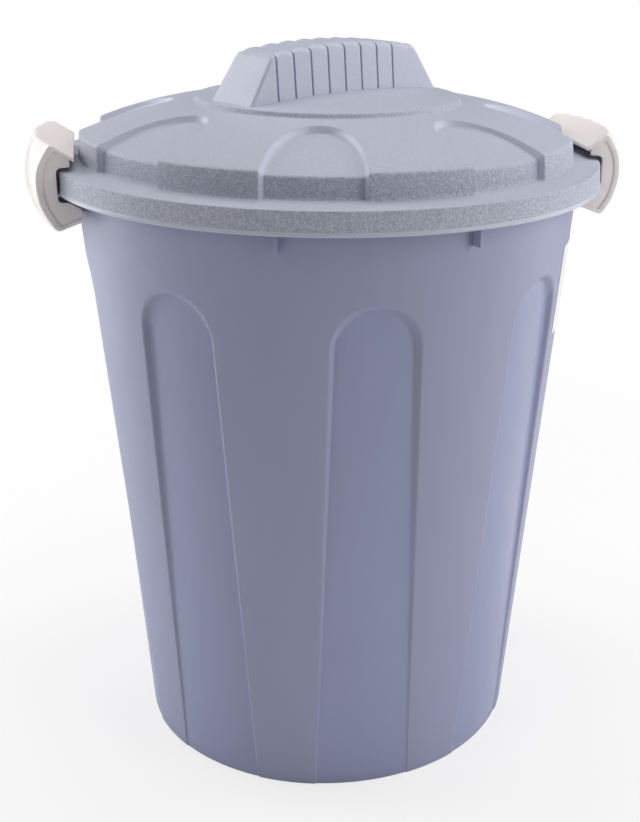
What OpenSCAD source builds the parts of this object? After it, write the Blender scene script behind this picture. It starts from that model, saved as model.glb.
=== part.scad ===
// Round lidded waste bin, about 50 litres: tub, loose lid with a ridged grip,
// and two wide locking handles that swing out from under the rim.
// Frame: mm, +Z up, origin at the centre of the base, front panel faces -Y,
// the locking handles sit on -X (left) and +X (right).

/* [Tub] */
// Outside radius of the tub wall at the ground
tub_base_r = 166.6; // [120:0.1:220]
// Outside radius of the tub wall at the rim
tub_top_r = 207.5; // [150:0.1:260]
// Level of the rim's top face
tub_h = 504.8; // [300:0.1:700]
// Wall thickness of the tub
tub_wall = 2.5; // [1.5:0.1:5]
// Thickness of the floor
floor_t = 3; // [2:0.1:6]
// Height of the floor's underside above the ground
floor_lift = 5; // [2:0.1:15]
// Width of the ring that the tub stands on
foot_w = 5; // [3:0.1:12]
// How far the rim flange stands out from the wall
rim_out = 13.5; // [8:0.1:25]
// Depth of the lip that turns down from the rim
rim_drop = 12.8; // [6:0.1:30]
// Thickness of the rim flange and its lip
rim_t = 2.5; // [1.5:0.1:5]

/* [Panels of the tub] */
// Number of sunk panels round the tub
panel_n = 8; // [4:1:12]
// Half width of a panel at the ground
panel_low_half = 39.7; // [20:0.1:60]
// Half width of a panel at its arch
panel_arch_half = 32.6; // [15:0.1:50]
// Distance from the rim down to the centre of the arch
panel_arch_down = 105.5; // [80:0.5:200]
// How deep a panel is sunk at its arch
panel_deep_top = 5.2; // [1:0.1:8]
// How deep a panel is sunk at the ground
panel_deep_low = 0.8; // [0.3:0.1:5]

/* [Ribs under the rim] */
// Angle from the front or back panel to a rib beside it
rib_angle = 20.2; // [10:0.1:40]
// Thickness of a rib
rib_t = 2; // [1:0.1:5]
// How far a rib stands out from the wall under the rim
rib_out = 6.5; // [2:0.1:10]
// Length of a rib below the rim's top face
rib_len = 31.3; // [15:0.1:60]

/* [Lid] */
// How far the loose lid is turned on the tub
lid_turn = -13.1; // [-45:0.1:45]
// Wall thickness of the lid
lid_wall = 2.5; // [1.5:0.1:4]
// Gap between the rim's lip and the inside of the skirt
skirt_gap = 1.5; // [0.5:0.1:5]
// How much thicker the lip along the skirt's lower edge is
skirt_lip = 0.8; // [0.3:0.1:3]
// Height of that lip
skirt_lip_h = 2; // [1:0.1:5]
// How far the skirt draws in from its lower edge to its top corner
skirt_draft = 0.7; // [0:0.1:5]
// How far the skirt hangs below the rim's top face
skirt_drop = 15.2; // [8:0.1:30]
// Gap between the rim's top face and the lid that rests on it
seat_gap = 0.3; // [0.1:0.05:1]
// Rise of the ledge from the skirt to the raised part
ledge_rise = 1.5; // [0:0.1:5]
// How far inside the tub's rim the raised part stands
raise_in = 5.3; // [3:0.1:20]
// How far the raised wall draws in up to its shoulder
raise_draft = 1.6; // [0:0.1:10]
// Height of the raised wall above the ledge
raise_h = 19.3; // [8:0.1:40]
// Rise of the dome from its shoulder to the boss
dome_rise = 22.9; // [8:0.1:50]
// Bulge of the dome above a straight cone
dome_bulge = 3.8; // [1:0.1:8]
// Radius of the boss at its foot
boss_low_r = 109; // [80:0.1:150]
// How far the side of the boss draws in
boss_draft = 1.5; // [0:0.1:5]
// Height of the boss's edge above the dome
boss_h = 3.8; // [1:0.1:10]
// Rise of the boss's crown above its edge
crown_rise = 5.7; // [1:0.1:15]
// Gap between the centring ring and the inside of the tub
guide_gap = 1.2; // [0.5:0.1:5]
// How far the centring ring reaches below the rim's top face
guide_drop = 10.8; // [4:0.1:14]

/* [Arches of the lid] */
// Number of sunk arches in the lid
arch_n = 8; // [4:1:12]
// Half width of an arch
arch_half = 37.5; // [20:0.1:55]
// Length of the half oval that shapes an arch
arch_len = 84; // [40:0.5:110]
// Distance from the raised wall's foot out to the centre of that oval
arch_out = 9.8; // [0:0.1:20]
// Number of straight pieces that draw half an oval
arch_sides = 22; // [8:2:40]
// How deep an arch is sunk
arch_deep = 5; // [1:0.1:8]

/* [Grip] */
// Direction of the grip's axis on the lid
grip_turn = 45; // [0:1:180]
// Half length of the grip at its foot
grip_low_half = 100; // [60:0.5:104]
// Half length of the grip at its top
grip_top_half = 75.5; // [40:0.5:100]
// Half width of the grip at its foot
grip_low_side = 25; // [12:0.1:40]
// Half width of the grip at its top
grip_top_side = 21; // [10:0.1:35]
// Rounding along the grip's top edges
grip_round = 6; // [2:0.1:12]
// Height of the grip's top above the boss's edge
grip_h = 43.2; // [20:0.1:80]
// Drop of the grip's top from its middle to its ends
grip_drop = 5.4; // [1:0.1:15]
// Wall thickness of the grip
grip_wall = 3; // [2.5:0.1:5]
// Number of grooves across the grip
groove_n = 8; // [2:1:14]
// Distance between grooves
groove_pitch = 17.7; // [8:0.1:25]
// Offset of the middle of the grooves along the grip
groove_shift = -11.5; // [-20:0.1:20]
// Width of a groove
groove_w = 1.2; // [0.6:0.1:4]
// Depth of a groove
groove_deep = 1.5; // [0.5:0.1:2]

/* [Locking handles] */
// Half width of a handle along the rim
clip_half = 61; // [52:0.5:80]
// Wall thickness of a handle
clip_wall = 3; // [2:0.1:4]
// Width of the raised border round an end plate
clip_border = 4.9; // [3.5:0.1:8]
// How far an end plate lies behind its border
clip_sink = 1; // [0.3:0.1:2]
// Radius of the curve of the handle's back
back_r = 55.2; // [50:0.1:80]
// How far the back stands out from the hinge line
back_out = 25.2; // [20:0.1:40]
// Height of the middle of the back above the hinge line
back_up = 24; // [15:0.1:40]
// Height of the middle of the top ridge above the hinge line
ridge_up = 56; // [48:0.1:70]
// Depth of the lower end below the hinge line
low_down = 12.6; // [11.5:0.1:20]
// How far the top plate's straight edge stands in from the hinge line
tip_in = 13.5; // [8:0.1:14]
// Height of that edge above the hinge line
tip_up = 44.5; // [42:0.1:50]
// Gap between an end plate and the lid's skirt
mouth_gap = 2.2; // [1:0.1:5]
// Height where an end plate starts to slope in over the lid
mouth_slope_up = 32.6; // [30:0.1:36]
// How far in from the hinge line the slope over the lid ends
mouth_tip_in = 1.5; // [0:0.1:6]
// Thickness of the end plates at that edge
tip_t = 2.7; // [1.5:0.1:5]
// Height of the mouth's lower corner above the hinge line
mouth_low_up = 10.4; // [8:0.1:13]
// How far the mouth's lower corner lies outside the hinge line
mouth_low_out = 4; // [2:0.1:6]
// How far the lower lip's tip stands in from the hinge line
lip_in = 8.9; // [4:0.1:12]
// Depth of the lower lip's tip below the hinge line
lip_down = 1.2; // [0.5:0.1:4]
// Thickness of the lower lip
lip_t = 3.8; // [2:0.1:6]
// Lean of the lower lip's front face
lip_lean = 1.6; // [0:0.1:4]
// Number of finger ribs along the ridge
finger_n = 6; // [3:1:9]
// Distance between finger ribs
finger_pitch = 19.6; // [10:0.1:30]
// Width of a finger rib
finger_w = 5; // [2:0.1:10]
// How far a finger rib stands out
finger_out = 1.1; // [0.5:0.1:3]
// Length of a finger rib down the back
finger_len = 14; // [5:0.5:30]

/* [Hinges of the handles] */
// Distance from the rim's outside down to the hinge line, inwards
hinge_in = 2.5; // [0:0.1:5]
// Distance from the rim's top face down to the hinge line
hinge_down = 30.8; // [28:0.1:40]
// Radius of a hinge pin
pin_r = 3.2; // [2:0.1:4]
// Gap round a pin in its socket
pin_gap = 0.1; // [0.05:0.05:0.5]
// Wall round the socket of a pin
socket_wall = 3.1; // [2:0.1:4]
// Wall left between the socket and the outside of an end plate
socket_end = 1.4; // [1:0.1:2]
// Distance from a lug to the inside of its end plate
socket_len = 6; // [3:0.1:10]
// Thickness of a lug
lug_t = 5; // [3:0.1:8]
// Gap between a lug and its socket
lug_gap = 0.3; // [0.2:0.05:1]
// Wall of a lug round its pin
lug_wall = 2.8; // [2:0.1:4]
// Width of the slot for a lug on each side of it
slot_gap = 0.8; // [0.4:0.1:2]

/* [Label] */
// Angle from the front to the label's middle
label_angle = 68; // [55:0.5:80]
// Half of the angle that the label spans
label_half_a = 9.75; // [3:0.25:12]
// Distance from the rim down to the label's upper edge
label_down = 57; // [45:0.5:200]
// Height of the label
label_h = 75; // [20:0.5:110]
// Thickness of the label
label_t = 0.3; // [0.1:0.05:0.6]
// Thickness of the glue between the label and the tub
label_glue = 0.1; // [0.05:0.05:0.3]

/* [Hidden] */
$fn = 144;
fine_fn = 720;
tiny = 0.01;
full_turn = 360;
half_turn = 180;
quarter = 90;
panel_step = full_turn / panel_n;
arch_step = full_turn / arch_n;
tub_rate = (tub_top_r - tub_base_r) / tub_h;
panel_arch_z = tub_h - panel_arch_down;
panel_top_z = panel_arch_z + panel_arch_half;
deep_rate = (panel_deep_top - panel_deep_low) / panel_top_z;
panel_rate = tub_rate - deep_rate;
panel_base_r = tub_base_r - panel_deep_low;
floor_z = floor_lift + floor_t;
rim_r = tub_top_r + rim_out;
skirt_in_r = rim_r + skirt_gap;
skirt_top_r = skirt_in_r + lid_wall - skirt_draft - skirt_lip;
skirt_mid_r = skirt_in_r + lid_wall - skirt_lip;
skirt_r = skirt_in_r + lid_wall;
skirt_low_z = tub_h - skirt_drop;
seat_z = tub_h + seat_gap;
ledge_out_z = seat_z + lid_wall;
ledge_in_z = ledge_out_z + ledge_rise;
raise_low_r = tub_top_r - raise_in;
raise_top_r = raise_low_r - raise_draft;
shoulder_z = ledge_in_z + raise_h;
boss_low_z = shoulder_z + dome_rise;
boss_top_r = boss_low_r - boss_draft;
boss_edge_z = boss_low_z + boss_h;
crown_z = boss_edge_z + crown_rise;
dome_run = raise_top_r - boss_low_r;
dome_chord = sqrt(dome_run * dome_run + dome_rise * dome_rise);
dome_r = dome_chord * dome_chord / (8 * dome_bulge) + dome_bulge / 2;
dome_back = dome_r - dome_bulge;
dome_mid_r = (raise_top_r + boss_low_r) / 2 - dome_back * dome_rise / dome_chord;
dome_mid_z = (shoulder_z + boss_low_z) / 2 - dome_back * dome_run / dome_chord;
crown_r = boss_top_r * boss_top_r / (2 * crown_rise) + crown_rise / 2;
guide_r = tub_top_r - tub_wall - guide_gap - tub_rate * guide_drop;
guide_low_z = tub_h - guide_drop;
arch_mid_r = raise_low_r + arch_out;
grip_z = boss_edge_z + grip_h;
grip_end_z = grip_z - grip_drop;
grip_arc = grip_top_half * grip_top_half / (2 * grip_drop) + grip_drop / 2;
hinge_x = rim_r - hinge_in;
hinge_z = tub_h - hinge_down;
back_x = hinge_x + back_out - back_r;
back_z = hinge_z + back_up;
ridge_z = hinge_z + ridge_up;
ridge_x = back_x + sqrt(back_r * back_r - pow(ridge_z - back_z, 2));
low_z = hinge_z - low_down;
low_x = back_x + sqrt(back_r * back_r - pow(low_z - back_z, 2));
tip_x = hinge_x - tip_in;
tip_z = hinge_z + tip_up;
lip_x = hinge_x - lip_in;
lip_z = hinge_z - lip_down;
mouth_x = skirt_r + mouth_gap;
top_rate = (ridge_z - tip_z) / (ridge_x - tip_x);
low_rate = (low_z - lip_z + lip_t) / (low_x - lip_x - lip_lean);
top_slant = sqrt(1 + top_rate * top_rate);
low_slant = sqrt(1 + low_rate * low_rate);
socket_r = pin_r + pin_gap + socket_wall;
plate_in_y = clip_half - clip_sink - clip_wall;
lug_out_y = plate_in_y - socket_len;
lug_in_y = lug_out_y - lug_t;
lug_r = pin_r + lug_wall;
socket_y = clip_half - clip_sink - socket_end;
pin_end_y = socket_y - pin_gap;
label_z = tub_h - label_down - label_h;

// A cone frustum whose radius grows with height from its value at the ground
module wall_cone(base, rate, low, high) {
  translate([0, 0, low])
    cylinder(h = high - low, r1 = base + rate * low, r2 = base + rate * high);
}

// Outline of one sunk panel, grown by "grow"
module panel_outline(grow) {
  spread = (panel_low_half - panel_arch_half) / panel_arch_z * floor_z;
  polygon([
    [-panel_low_half - grow - spread, -floor_z],
    [panel_low_half + grow + spread, -floor_z],
    [panel_arch_half + grow, panel_arch_z],
    [-panel_arch_half - grow, panel_arch_z]
  ]);
  translate([0, panel_arch_z])
    circle(r = panel_arch_half + grow);
}

// Everything outside the sunk surface, within the panels' outlines
module panel_cut(inset, grow) {
  difference() {
    for (i = [0 : panel_n - 1])
      rotate([0, 0, i * panel_step])
        translate([0, -tub_base_r / 2, 0])
          rotate([quarter, 0, 0])
            linear_extrude(height = tub_top_r)
              panel_outline(grow);
    wall_cone(panel_base_r - inset, panel_rate, -floor_z - tiny, tub_h + tub_wall);
  }
}

module rim_ring() {
  rotate_extrude()
    polygon([
      [tub_top_r - tub_wall / 2, tub_h],
      [rim_r, tub_h],
      [rim_r, tub_h - rim_drop],
      [rim_r - rim_t, tub_h - rim_drop],
      [rim_r - rim_t, tub_h - rim_t],
      [tub_top_r - tub_wall / 2, tub_h - rim_t]
    ]);
}

module tub_ribs() {
  for (side = [0, half_turn], way = [-1, 1])
    rotate([0, 0, side + way * rib_angle])
      translate([-rib_t / 2, -tub_top_r - rib_out, tub_h - rib_len])
        cube([rib_t, rib_out + 2 * tub_wall, rib_len - rim_t / 2]);
}

// Plate that carries one stub pin, merged into the wall and the rim's lip
module tub_lug() {
  translate([0, lug_out_y, 0])
    rotate([quarter, 0, 0])
      linear_extrude(height = lug_t) {
        translate([hinge_x, hinge_z])
          circle(r = lug_r);
        polygon([
          [tub_base_r, hinge_z + lug_r],
          [hinge_x - lug_r / 2, hinge_z - lug_r * sin(60)],
          [hinge_x + lug_r, hinge_z],
          [rim_r - 2.4 * rim_t, tub_h - rim_drop - tiny],
          [rim_r - 2.4 * rim_t, tub_h - rim_t / 2],
          [tub_base_r, tub_h - rim_t / 2]
        ]);
      }
  translate([hinge_x, pin_end_y, hinge_z])
    rotate([quarter, 0, 0])
      cylinder(h = pin_end_y - lug_in_y - lug_t / 2, r = pin_r);
}

module tub_lugs() {
  for (side = [0, 1], way = [0, 1])
    mirror([side, 0, 0])
      mirror([0, way, 0])
        tub_lug();
}

module tub() {
  color("#8A90AC")
    difference() {
      union() {
        difference() {
          wall_cone(tub_base_r, tub_rate, 0, tub_h);
          panel_cut(0, 0);
        }
        rim_ring();
        tub_ribs();
        tub_lugs();
      }
      difference() {
        wall_cone(tub_base_r - tub_wall, tub_rate, floor_z, tub_h + tub_wall);
        panel_cut(tub_wall, tub_wall);
      }
      translate([0, 0, -tiny])
        cylinder(h = floor_lift + tiny, r = panel_base_r - foot_w);
    }
}

// Half section of the raised part, moved inwards by "inset"
module raised_half(inset) {
  lean = raise_draft / raise_h * (grip_z - shoulder_z);
  low = skirt_low_z - lid_wall;
  intersection() {
    polygon([
      [0, low],
      [raise_low_r - inset, low],
      [raise_low_r - inset, ledge_in_z],
      [raise_top_r - inset, shoulder_z],
      [raise_top_r - inset - lean, grip_z],
      [0, grip_z]
    ]);
    union() {
      translate([dome_mid_r, dome_mid_z])
        circle(r = dome_r - inset, $fn = fine_fn);
      intersection() {
        translate([0, crown_z - crown_r])
          circle(r = crown_r - inset, $fn = 4 * fine_fn);
        polygon([
          [0, low],
          [boss_low_r - inset, low],
          [boss_low_r - inset, boss_low_z],
          [boss_top_r - inset, boss_edge_z],
          [boss_top_r - inset, crown_z],
          [0, crown_z]
        ]);
      }
      square([boss_low_r - inset, boss_low_z - inset]);
      square([raise_top_r - 3 * inset, ledge_out_z]);
    }
  }
}

// Plan of one sunk arch, half an oval grown by "grow"
module arch_plan(grow) {
  polygon([
    for (i = [0 : arch_sides])
      [
        -(arch_half + grow) * cos(i * half_turn / arch_sides),
        -arch_mid_r + (arch_len + grow) * sin(i * half_turn / arch_sides)
      ]
  ]);
}

// The raised part with its arches, moved inwards by "inset"
module raised_part(inset) {
  difference() {
    rotate_extrude()
      raised_half(inset);
    difference() {
      for (i = [0 : arch_n - 1])
        rotate([0, 0, i * arch_step])
          linear_extrude(height = grip_z)
            arch_plan(inset);
      rotate_extrude()
        raised_half(inset + arch_deep);
    }
  }
}

// Cross-section of the grip, moved inwards by "inset"
module grip_section(inset) {
  side_rate = (grip_low_side - grip_top_side) / grip_h;
  round_r = grip_round - inset;
  round_x = grip_top_side - grip_round;
  intersection() {
    polygon([
      [-grip_low_side + inset, boss_low_z - lid_wall],
      [grip_low_side - inset, boss_low_z - lid_wall],
      [grip_low_side - inset, boss_edge_z],
      [grip_low_side - inset - side_rate * grip_h, grip_z],
      [-grip_low_side + inset + side_rate * grip_h, grip_z],
      [-grip_low_side + inset, boss_edge_z]
    ]);
    union() {
      for (way = [-1, 1])
        translate([way * round_x, grip_z - grip_round])
          circle(r = max(round_r, tiny));
      translate([-round_x, boss_low_z - lid_wall])
        square([2 * round_x, grip_z - inset - boss_low_z + lid_wall]);
      translate([-grip_low_side, boss_low_z - lid_wall])
        square([2 * grip_low_side, grip_h - grip_round + boss_h + lid_wall]);
    }
  }
}

// Long outline of the grip, moved inwards by "inset"
module grip_outline(inset) {
  end_rate = (grip_low_half - grip_top_half) / (grip_h - grip_drop);
  low = boss_low_z - lid_wall;
  intersection() {
    polygon([
      [-grip_low_half + inset, low],
      [grip_low_half - inset, low],
      [grip_low_half - inset, boss_edge_z],
      [grip_low_half - inset - end_rate * grip_h, grip_z],
      [-grip_low_half + inset + end_rate * grip_h, grip_z],
      [-grip_low_half + inset, boss_edge_z]
    ]);
    translate([0, grip_z - grip_arc])
      circle(r = grip_arc - inset, $fn = 2 * fine_fn);
  }
}

module grip_body(inset) {
  rotate([0, 0, grip_turn])
    intersection() {
      translate([-grip_low_half - tiny, 0, 0])
        rotate([quarter, 0, quarter])
          linear_extrude(height = 2 * grip_low_half + 2 * tiny)
            grip_section(inset);
      translate([0, grip_low_side + tiny, 0])
        rotate([quarter, 0, 0])
          linear_extrude(height = 2 * grip_low_side + 2 * tiny)
            grip_outline(inset);
    }
}

// Slabs where the grooves run, clear of the boss
module groove_slabs() {
  rotate([0, 0, grip_turn])
    for (i = [0 : groove_n - 1])
      translate([
        groove_shift + (i - (groove_n - 1) / 2) * groove_pitch - groove_w / 2,
        -grip_low_side - groove_w,
        crown_z + groove_w
      ])
        cube([groove_w, 2 * grip_low_side + 2 * groove_w, grip_h]);
}

module lid_ring() {
  rotate_extrude() {
    polygon([
      [raise_low_r / 2, seat_z],
      [skirt_in_r, seat_z],
      [skirt_in_r, skirt_low_z],
      [skirt_r, skirt_low_z],
      [skirt_r, skirt_low_z + skirt_lip_h],
      [skirt_mid_r, skirt_low_z + skirt_lip_h + skirt_lip],
      [skirt_top_r, ledge_out_z],
      [raise_low_r, ledge_in_z],
      [raise_low_r / 2, ledge_in_z]
    ]);
    translate([guide_r - lid_wall, guide_low_z])
      square([lid_wall, seat_z - guide_low_z + lid_wall / 2]);
  }
}

module lid() {
  color("#A3A7AE")
    rotate([0, 0, lid_turn])
      difference() {
        union() {
          raised_part(0);
          lid_ring();
          difference() {
            grip_body(0);
            difference() {
              groove_slabs();
              grip_body(groove_deep);
            }
          }
        }
        raised_part(lid_wall);
        grip_body(grip_wall);
      }
}

// Side outline of a handle inside its back curve, moved in by "back_in"
module clip_curve(back_in) {
  translate([back_x, back_z])
    circle(r = back_r - back_in, $fn = fine_fn / 3);
}

// Outline of a handle in side view, up to a level above its flat top
module clip_outline() {
  intersection() {
    clip_curve(0);
    polygon([
      [lip_x + lip_lean, lip_z - lip_t],
      [lip_x, lip_z],
      [tip_x, tip_z - tip_t],
      [tip_x, ridge_z + clip_wall],
      [ridge_x + back_out, ridge_z + clip_wall],
      [ridge_x + back_out, low_z],
      [low_x, low_z]
    ]);
  }
}

// Hollow between the back and the lower lip, up to a level above the top
module clip_hollow(back_in, low_in) {
  low_up = low_in * low_slant;
  start = lip_x - back_out;
  end = ridge_x + back_out;
  intersection() {
    clip_curve(back_in);
    polygon([
      [start, ridge_z + 2 * clip_wall],
      [end, ridge_z + 2 * clip_wall],
      [end, low_z + low_up + low_rate * (end - low_x)],
      [start, low_z + low_up - low_rate * (low_x - start)]
    ]);
  }
}

// Everything below the flat top of a handle, lowered by "down"; above the
// hinge it starts at "start"
module below_top(down, start) {
  end = ridge_x + back_out;
  translate([0, clip_half + clip_wall, 0])
    rotate([quarter, 0, 0])
      linear_extrude(height = 2 * clip_half + 2 * clip_wall)
        polygon([
          [hinge_x / 2, low_z - clip_wall],
          [end, low_z - clip_wall],
          [end, tip_z - down + top_rate * (end - tip_x)],
          [start, tip_z - down + top_rate * (start - tip_x)],
          [start, back_z],
          [hinge_x / 2, back_z]
        ]);
}

// The hollow under the flat top, between two planes of constant Y
module clip_room(back_in, from_y, to_y) {
  intersection() {
    clip_slice(from_y, to_y)
      clip_hollow(back_in, clip_wall);
    below_top(clip_wall * top_slant, tip_x - back_out);
  }
}

// Opening of an end plate that takes the lid's edge and the rim
module clip_mouth() {
  polygon([
    [tip_x - back_out, tip_z - tip_t],
    [tip_x, tip_z - tip_t],
    [hinge_x - mouth_tip_in, hinge_z + tip_up - tip_t - tiny],
    [mouth_x, hinge_z + mouth_slope_up],
    [mouth_x, hinge_z + mouth_low_up + mouth_low_out],
    [hinge_x + mouth_low_out, hinge_z + mouth_low_up],
    [lip_x, lip_z],
    [lip_x - back_out, lip_z]
  ]);
}

module finger_ribs() {
  intersection() {
    rotate_extrude()
      intersection() {
        difference() {
          translate([back_x, back_z])
            circle(r = back_r + finger_out, $fn = fine_fn / 3);
          clip_curve(clip_wall / 2);
        }
        translate([back_x, ridge_z - finger_len])
          square([back_r + finger_out, finger_len + finger_out]);
      }
    for (i = [0 : finger_n - 1])
      rotate([0, 0, (i - (finger_n - 1) / 2) * finger_pitch / ridge_x * half_turn / PI])
        translate([back_x, -finger_w / 2, low_z])
          cube([back_r + back_out, finger_w, ridge_z]);
  }
}

// The part of a revolved shape between two planes of constant Y, on +X
module clip_slice(from_y, to_y) {
  intersection() {
    rotate_extrude()
      children();
    translate([hinge_x / 2, from_y, low_z - clip_wall])
      cube([hinge_x, to_y - from_y, ridge_up + low_down + 3 * clip_wall]);
  }
}

// One end of a handle, on +Y: plate, socket and socket's bore
module clip_end() {
  difference() {
    union() {
      intersection() {
        clip_slice(plate_in_y, clip_half)
          difference() {
            clip_outline();
            clip_mouth();
          }
        below_top(0, tip_x);
      }
      translate([hinge_x, clip_half - clip_sink - clip_wall / 2, hinge_z])
        rotate([quarter, 0, 0])
          cylinder(h = clip_half - clip_sink - clip_wall / 2 - lug_out_y - lug_gap, r = socket_r);
    }
    clip_room(clip_border, clip_half - clip_sink, clip_half + clip_sink);
    translate([hinge_x, socket_y, hinge_z])
      rotate([quarter, 0, 0])
        cylinder(h = socket_y - lug_in_y, r = pin_r + pin_gap);
  }
}

// The slot in the lower lip that a lug stands in, on +Y
module clip_slot() {
  translate([hinge_x / 2, lug_in_y - slot_gap, low_z - clip_wall])
    cube([low_x - hinge_x / 2 - clip_wall, lug_t + 2 * slot_gap, low_down + clip_wall]);
}

// A handle's full block with the slots that the lugs stand in
module clip_block() {
  difference() {
    clip_slice(-clip_half, clip_half)
      clip_outline();
    clip_slot();
    mirror([0, 1, 0])
      clip_slot();
  }
}

module handle() {
  color("#E4E2DC") {
    difference() {
      intersection() {
        union() {
          clip_block();
          finger_ribs();
        }
        below_top(0, tip_x);
      }
      clip_room(clip_wall, -clip_half - clip_sink, clip_half + clip_sink);
    }
    clip_end();
    mirror([0, 1, 0])
      clip_end();
  }
}

module handle_right() {
  handle();
}

module handle_left() {
  mirror([1, 0, 0])
    handle();
}

// Blank sticker on the tub's wall
module label() {
  color("#F2F2EE")
    difference() {
      intersection() {
        wall_cone(tub_base_r + label_glue + label_t, tub_rate, label_z, label_z + label_h);
        rotate([0, 0, label_angle])
          translate([0, 0, label_z])
            linear_extrude(height = label_h)
              polygon([
                [0, 0],
                [-tub_top_r * tan(label_half_a), -tub_top_r],
                [-tub_top_r * tan(label_half_a), -rim_r],
                [tub_top_r * tan(label_half_a), -rim_r],
                [tub_top_r * tan(label_half_a), -tub_top_r]
              ]);
      }
      wall_cone(tub_base_r + label_glue, tub_rate, 0, tub_h);
    }
}

tub();
lid();
handle_left();
handle_right();
label();
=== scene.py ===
import math

import bpy
import numpy as np
from bpy.props import FloatProperty, FloatVectorProperty, IntProperty, PointerProperty
from mathutils import Matrix, Vector


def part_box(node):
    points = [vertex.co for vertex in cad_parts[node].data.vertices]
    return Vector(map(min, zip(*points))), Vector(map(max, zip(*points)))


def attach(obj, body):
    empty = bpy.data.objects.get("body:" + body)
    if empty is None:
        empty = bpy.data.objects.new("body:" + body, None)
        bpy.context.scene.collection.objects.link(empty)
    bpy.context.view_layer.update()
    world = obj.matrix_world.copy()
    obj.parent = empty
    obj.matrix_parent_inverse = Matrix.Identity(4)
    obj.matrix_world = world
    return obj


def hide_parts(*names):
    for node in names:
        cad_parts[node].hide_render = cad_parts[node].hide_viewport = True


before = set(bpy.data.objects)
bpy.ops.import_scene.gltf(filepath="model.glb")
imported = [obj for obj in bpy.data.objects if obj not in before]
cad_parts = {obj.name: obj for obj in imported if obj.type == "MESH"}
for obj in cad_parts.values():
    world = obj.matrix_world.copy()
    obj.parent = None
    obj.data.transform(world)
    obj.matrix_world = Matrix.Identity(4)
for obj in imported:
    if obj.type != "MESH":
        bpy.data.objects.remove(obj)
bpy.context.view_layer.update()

bl_info = {
    "name": "Lidded Waste Bin",
    "version": (1, 0, 0),
    "blender": (4, 5, 0),
    "location": "View3D > Sidebar > Waste Bin",
    "description": "Builds a round plastic waste bin with a domed lid and locking handles",
    "category": "Add Mesh",
}

TUB_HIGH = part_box("tub")[1]
LID_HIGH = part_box("lid")[1]
HANDLE_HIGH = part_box("handle_right")[1]


def linear(code):
    """An sRGB hex colour as linear red, green and blue."""
    parts = [int(code[i:i + 2], 16) / 255 for i in (1, 3, 5)]
    return tuple(c / 12.92 if c <= 0.04045 else ((c + 0.055) / 1.055) ** 2.4 for c in parts)


def length(name, default, description, low=0):
    """A length property in metres."""
    return FloatProperty(name=name, default=default, description=description,
                         min=low, unit="LENGTH", precision=4)


def degrees(name, default, description):
    """An angle property whose default is given in degrees."""
    return FloatProperty(name=name, default=math.radians(default), description=description,
                         subtype="ANGLE")


def count(name, default, description, low=1):
    """A property that holds a whole number."""
    return IntProperty(name=name, default=default, description=description, min=low)


def colour(name, code, description):
    """A colour property whose default is an sRGB hex colour."""
    return FloatVectorProperty(name=name, default=linear(code), description=description,
                               subtype="COLOR", size=3, min=0, max=1)


class TubSizes(bpy.types.PropertyGroup):
    """Sizes of the tub and what is moulded onto it."""
    base_r: length("Foot radius", 0.1666, "Outside radius of the wall at the ground")
    top_r: length("Top radius", 0.2075, "Outside radius of the wall at the rim")
    height: length("Height", TUB_HIGH.z, "Level of the rim's top face")
    wall: length("Wall", 0.0025, "Thickness of the wall")
    floor_z: length("Floor level", 0.008, "Level of the inside of the floor")
    floor_lift: length("Floor lift", 0.005, "Level of the underside of the floor")
    foot_w: length("Foot width", 0.005, "Width of the ring that the tub stands on")
    rim_r: length("Rim radius", 0.221, "Outside radius of the rim")
    rim_drop: length("Rim lip", 0.0128, "Height of the lip that turns down from the rim")
    rim_t: length("Rim thickness", 0.0025, "Thickness of the rim and its lip")
    panels: count("Panels", 8, "Number of sunk panels", 3)
    panel_low: length("Panel half width, low", 0.0397, "Half width of a panel at the ground")
    panel_high: length("Panel half width, high", 0.0326, "Half width of a panel at its arch")
    arch_z: length("Arch level", 0.3993, "Level of the centre of a panel's arch")
    deep_low: length("Panel depth, low", 0.0008, "Depth of a panel at the ground")
    deep_high: length("Panel depth, high", 0.0052, "Depth of a panel at its arch")
    slope_low: length("Step width, low", 0.0016, "Width of a panel's sloped edge at the ground")
    slope_high: length("Step width, high", 0.0042, "Width of a panel's sloped edge at its arch")
    rib_angle: degrees("Rib angle", 20.2, "Angle between a rib and the middle of the panel beside it")
    rib_t: length("Rib thickness", 0.002, "Thickness of a rib under the rim")
    rib_out: length("Rib reach", 0.0065, "How far a rib stands out from the wall")
    rib_z: length("Rib level", 0.4735, "Level of a rib's lower end")


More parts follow.
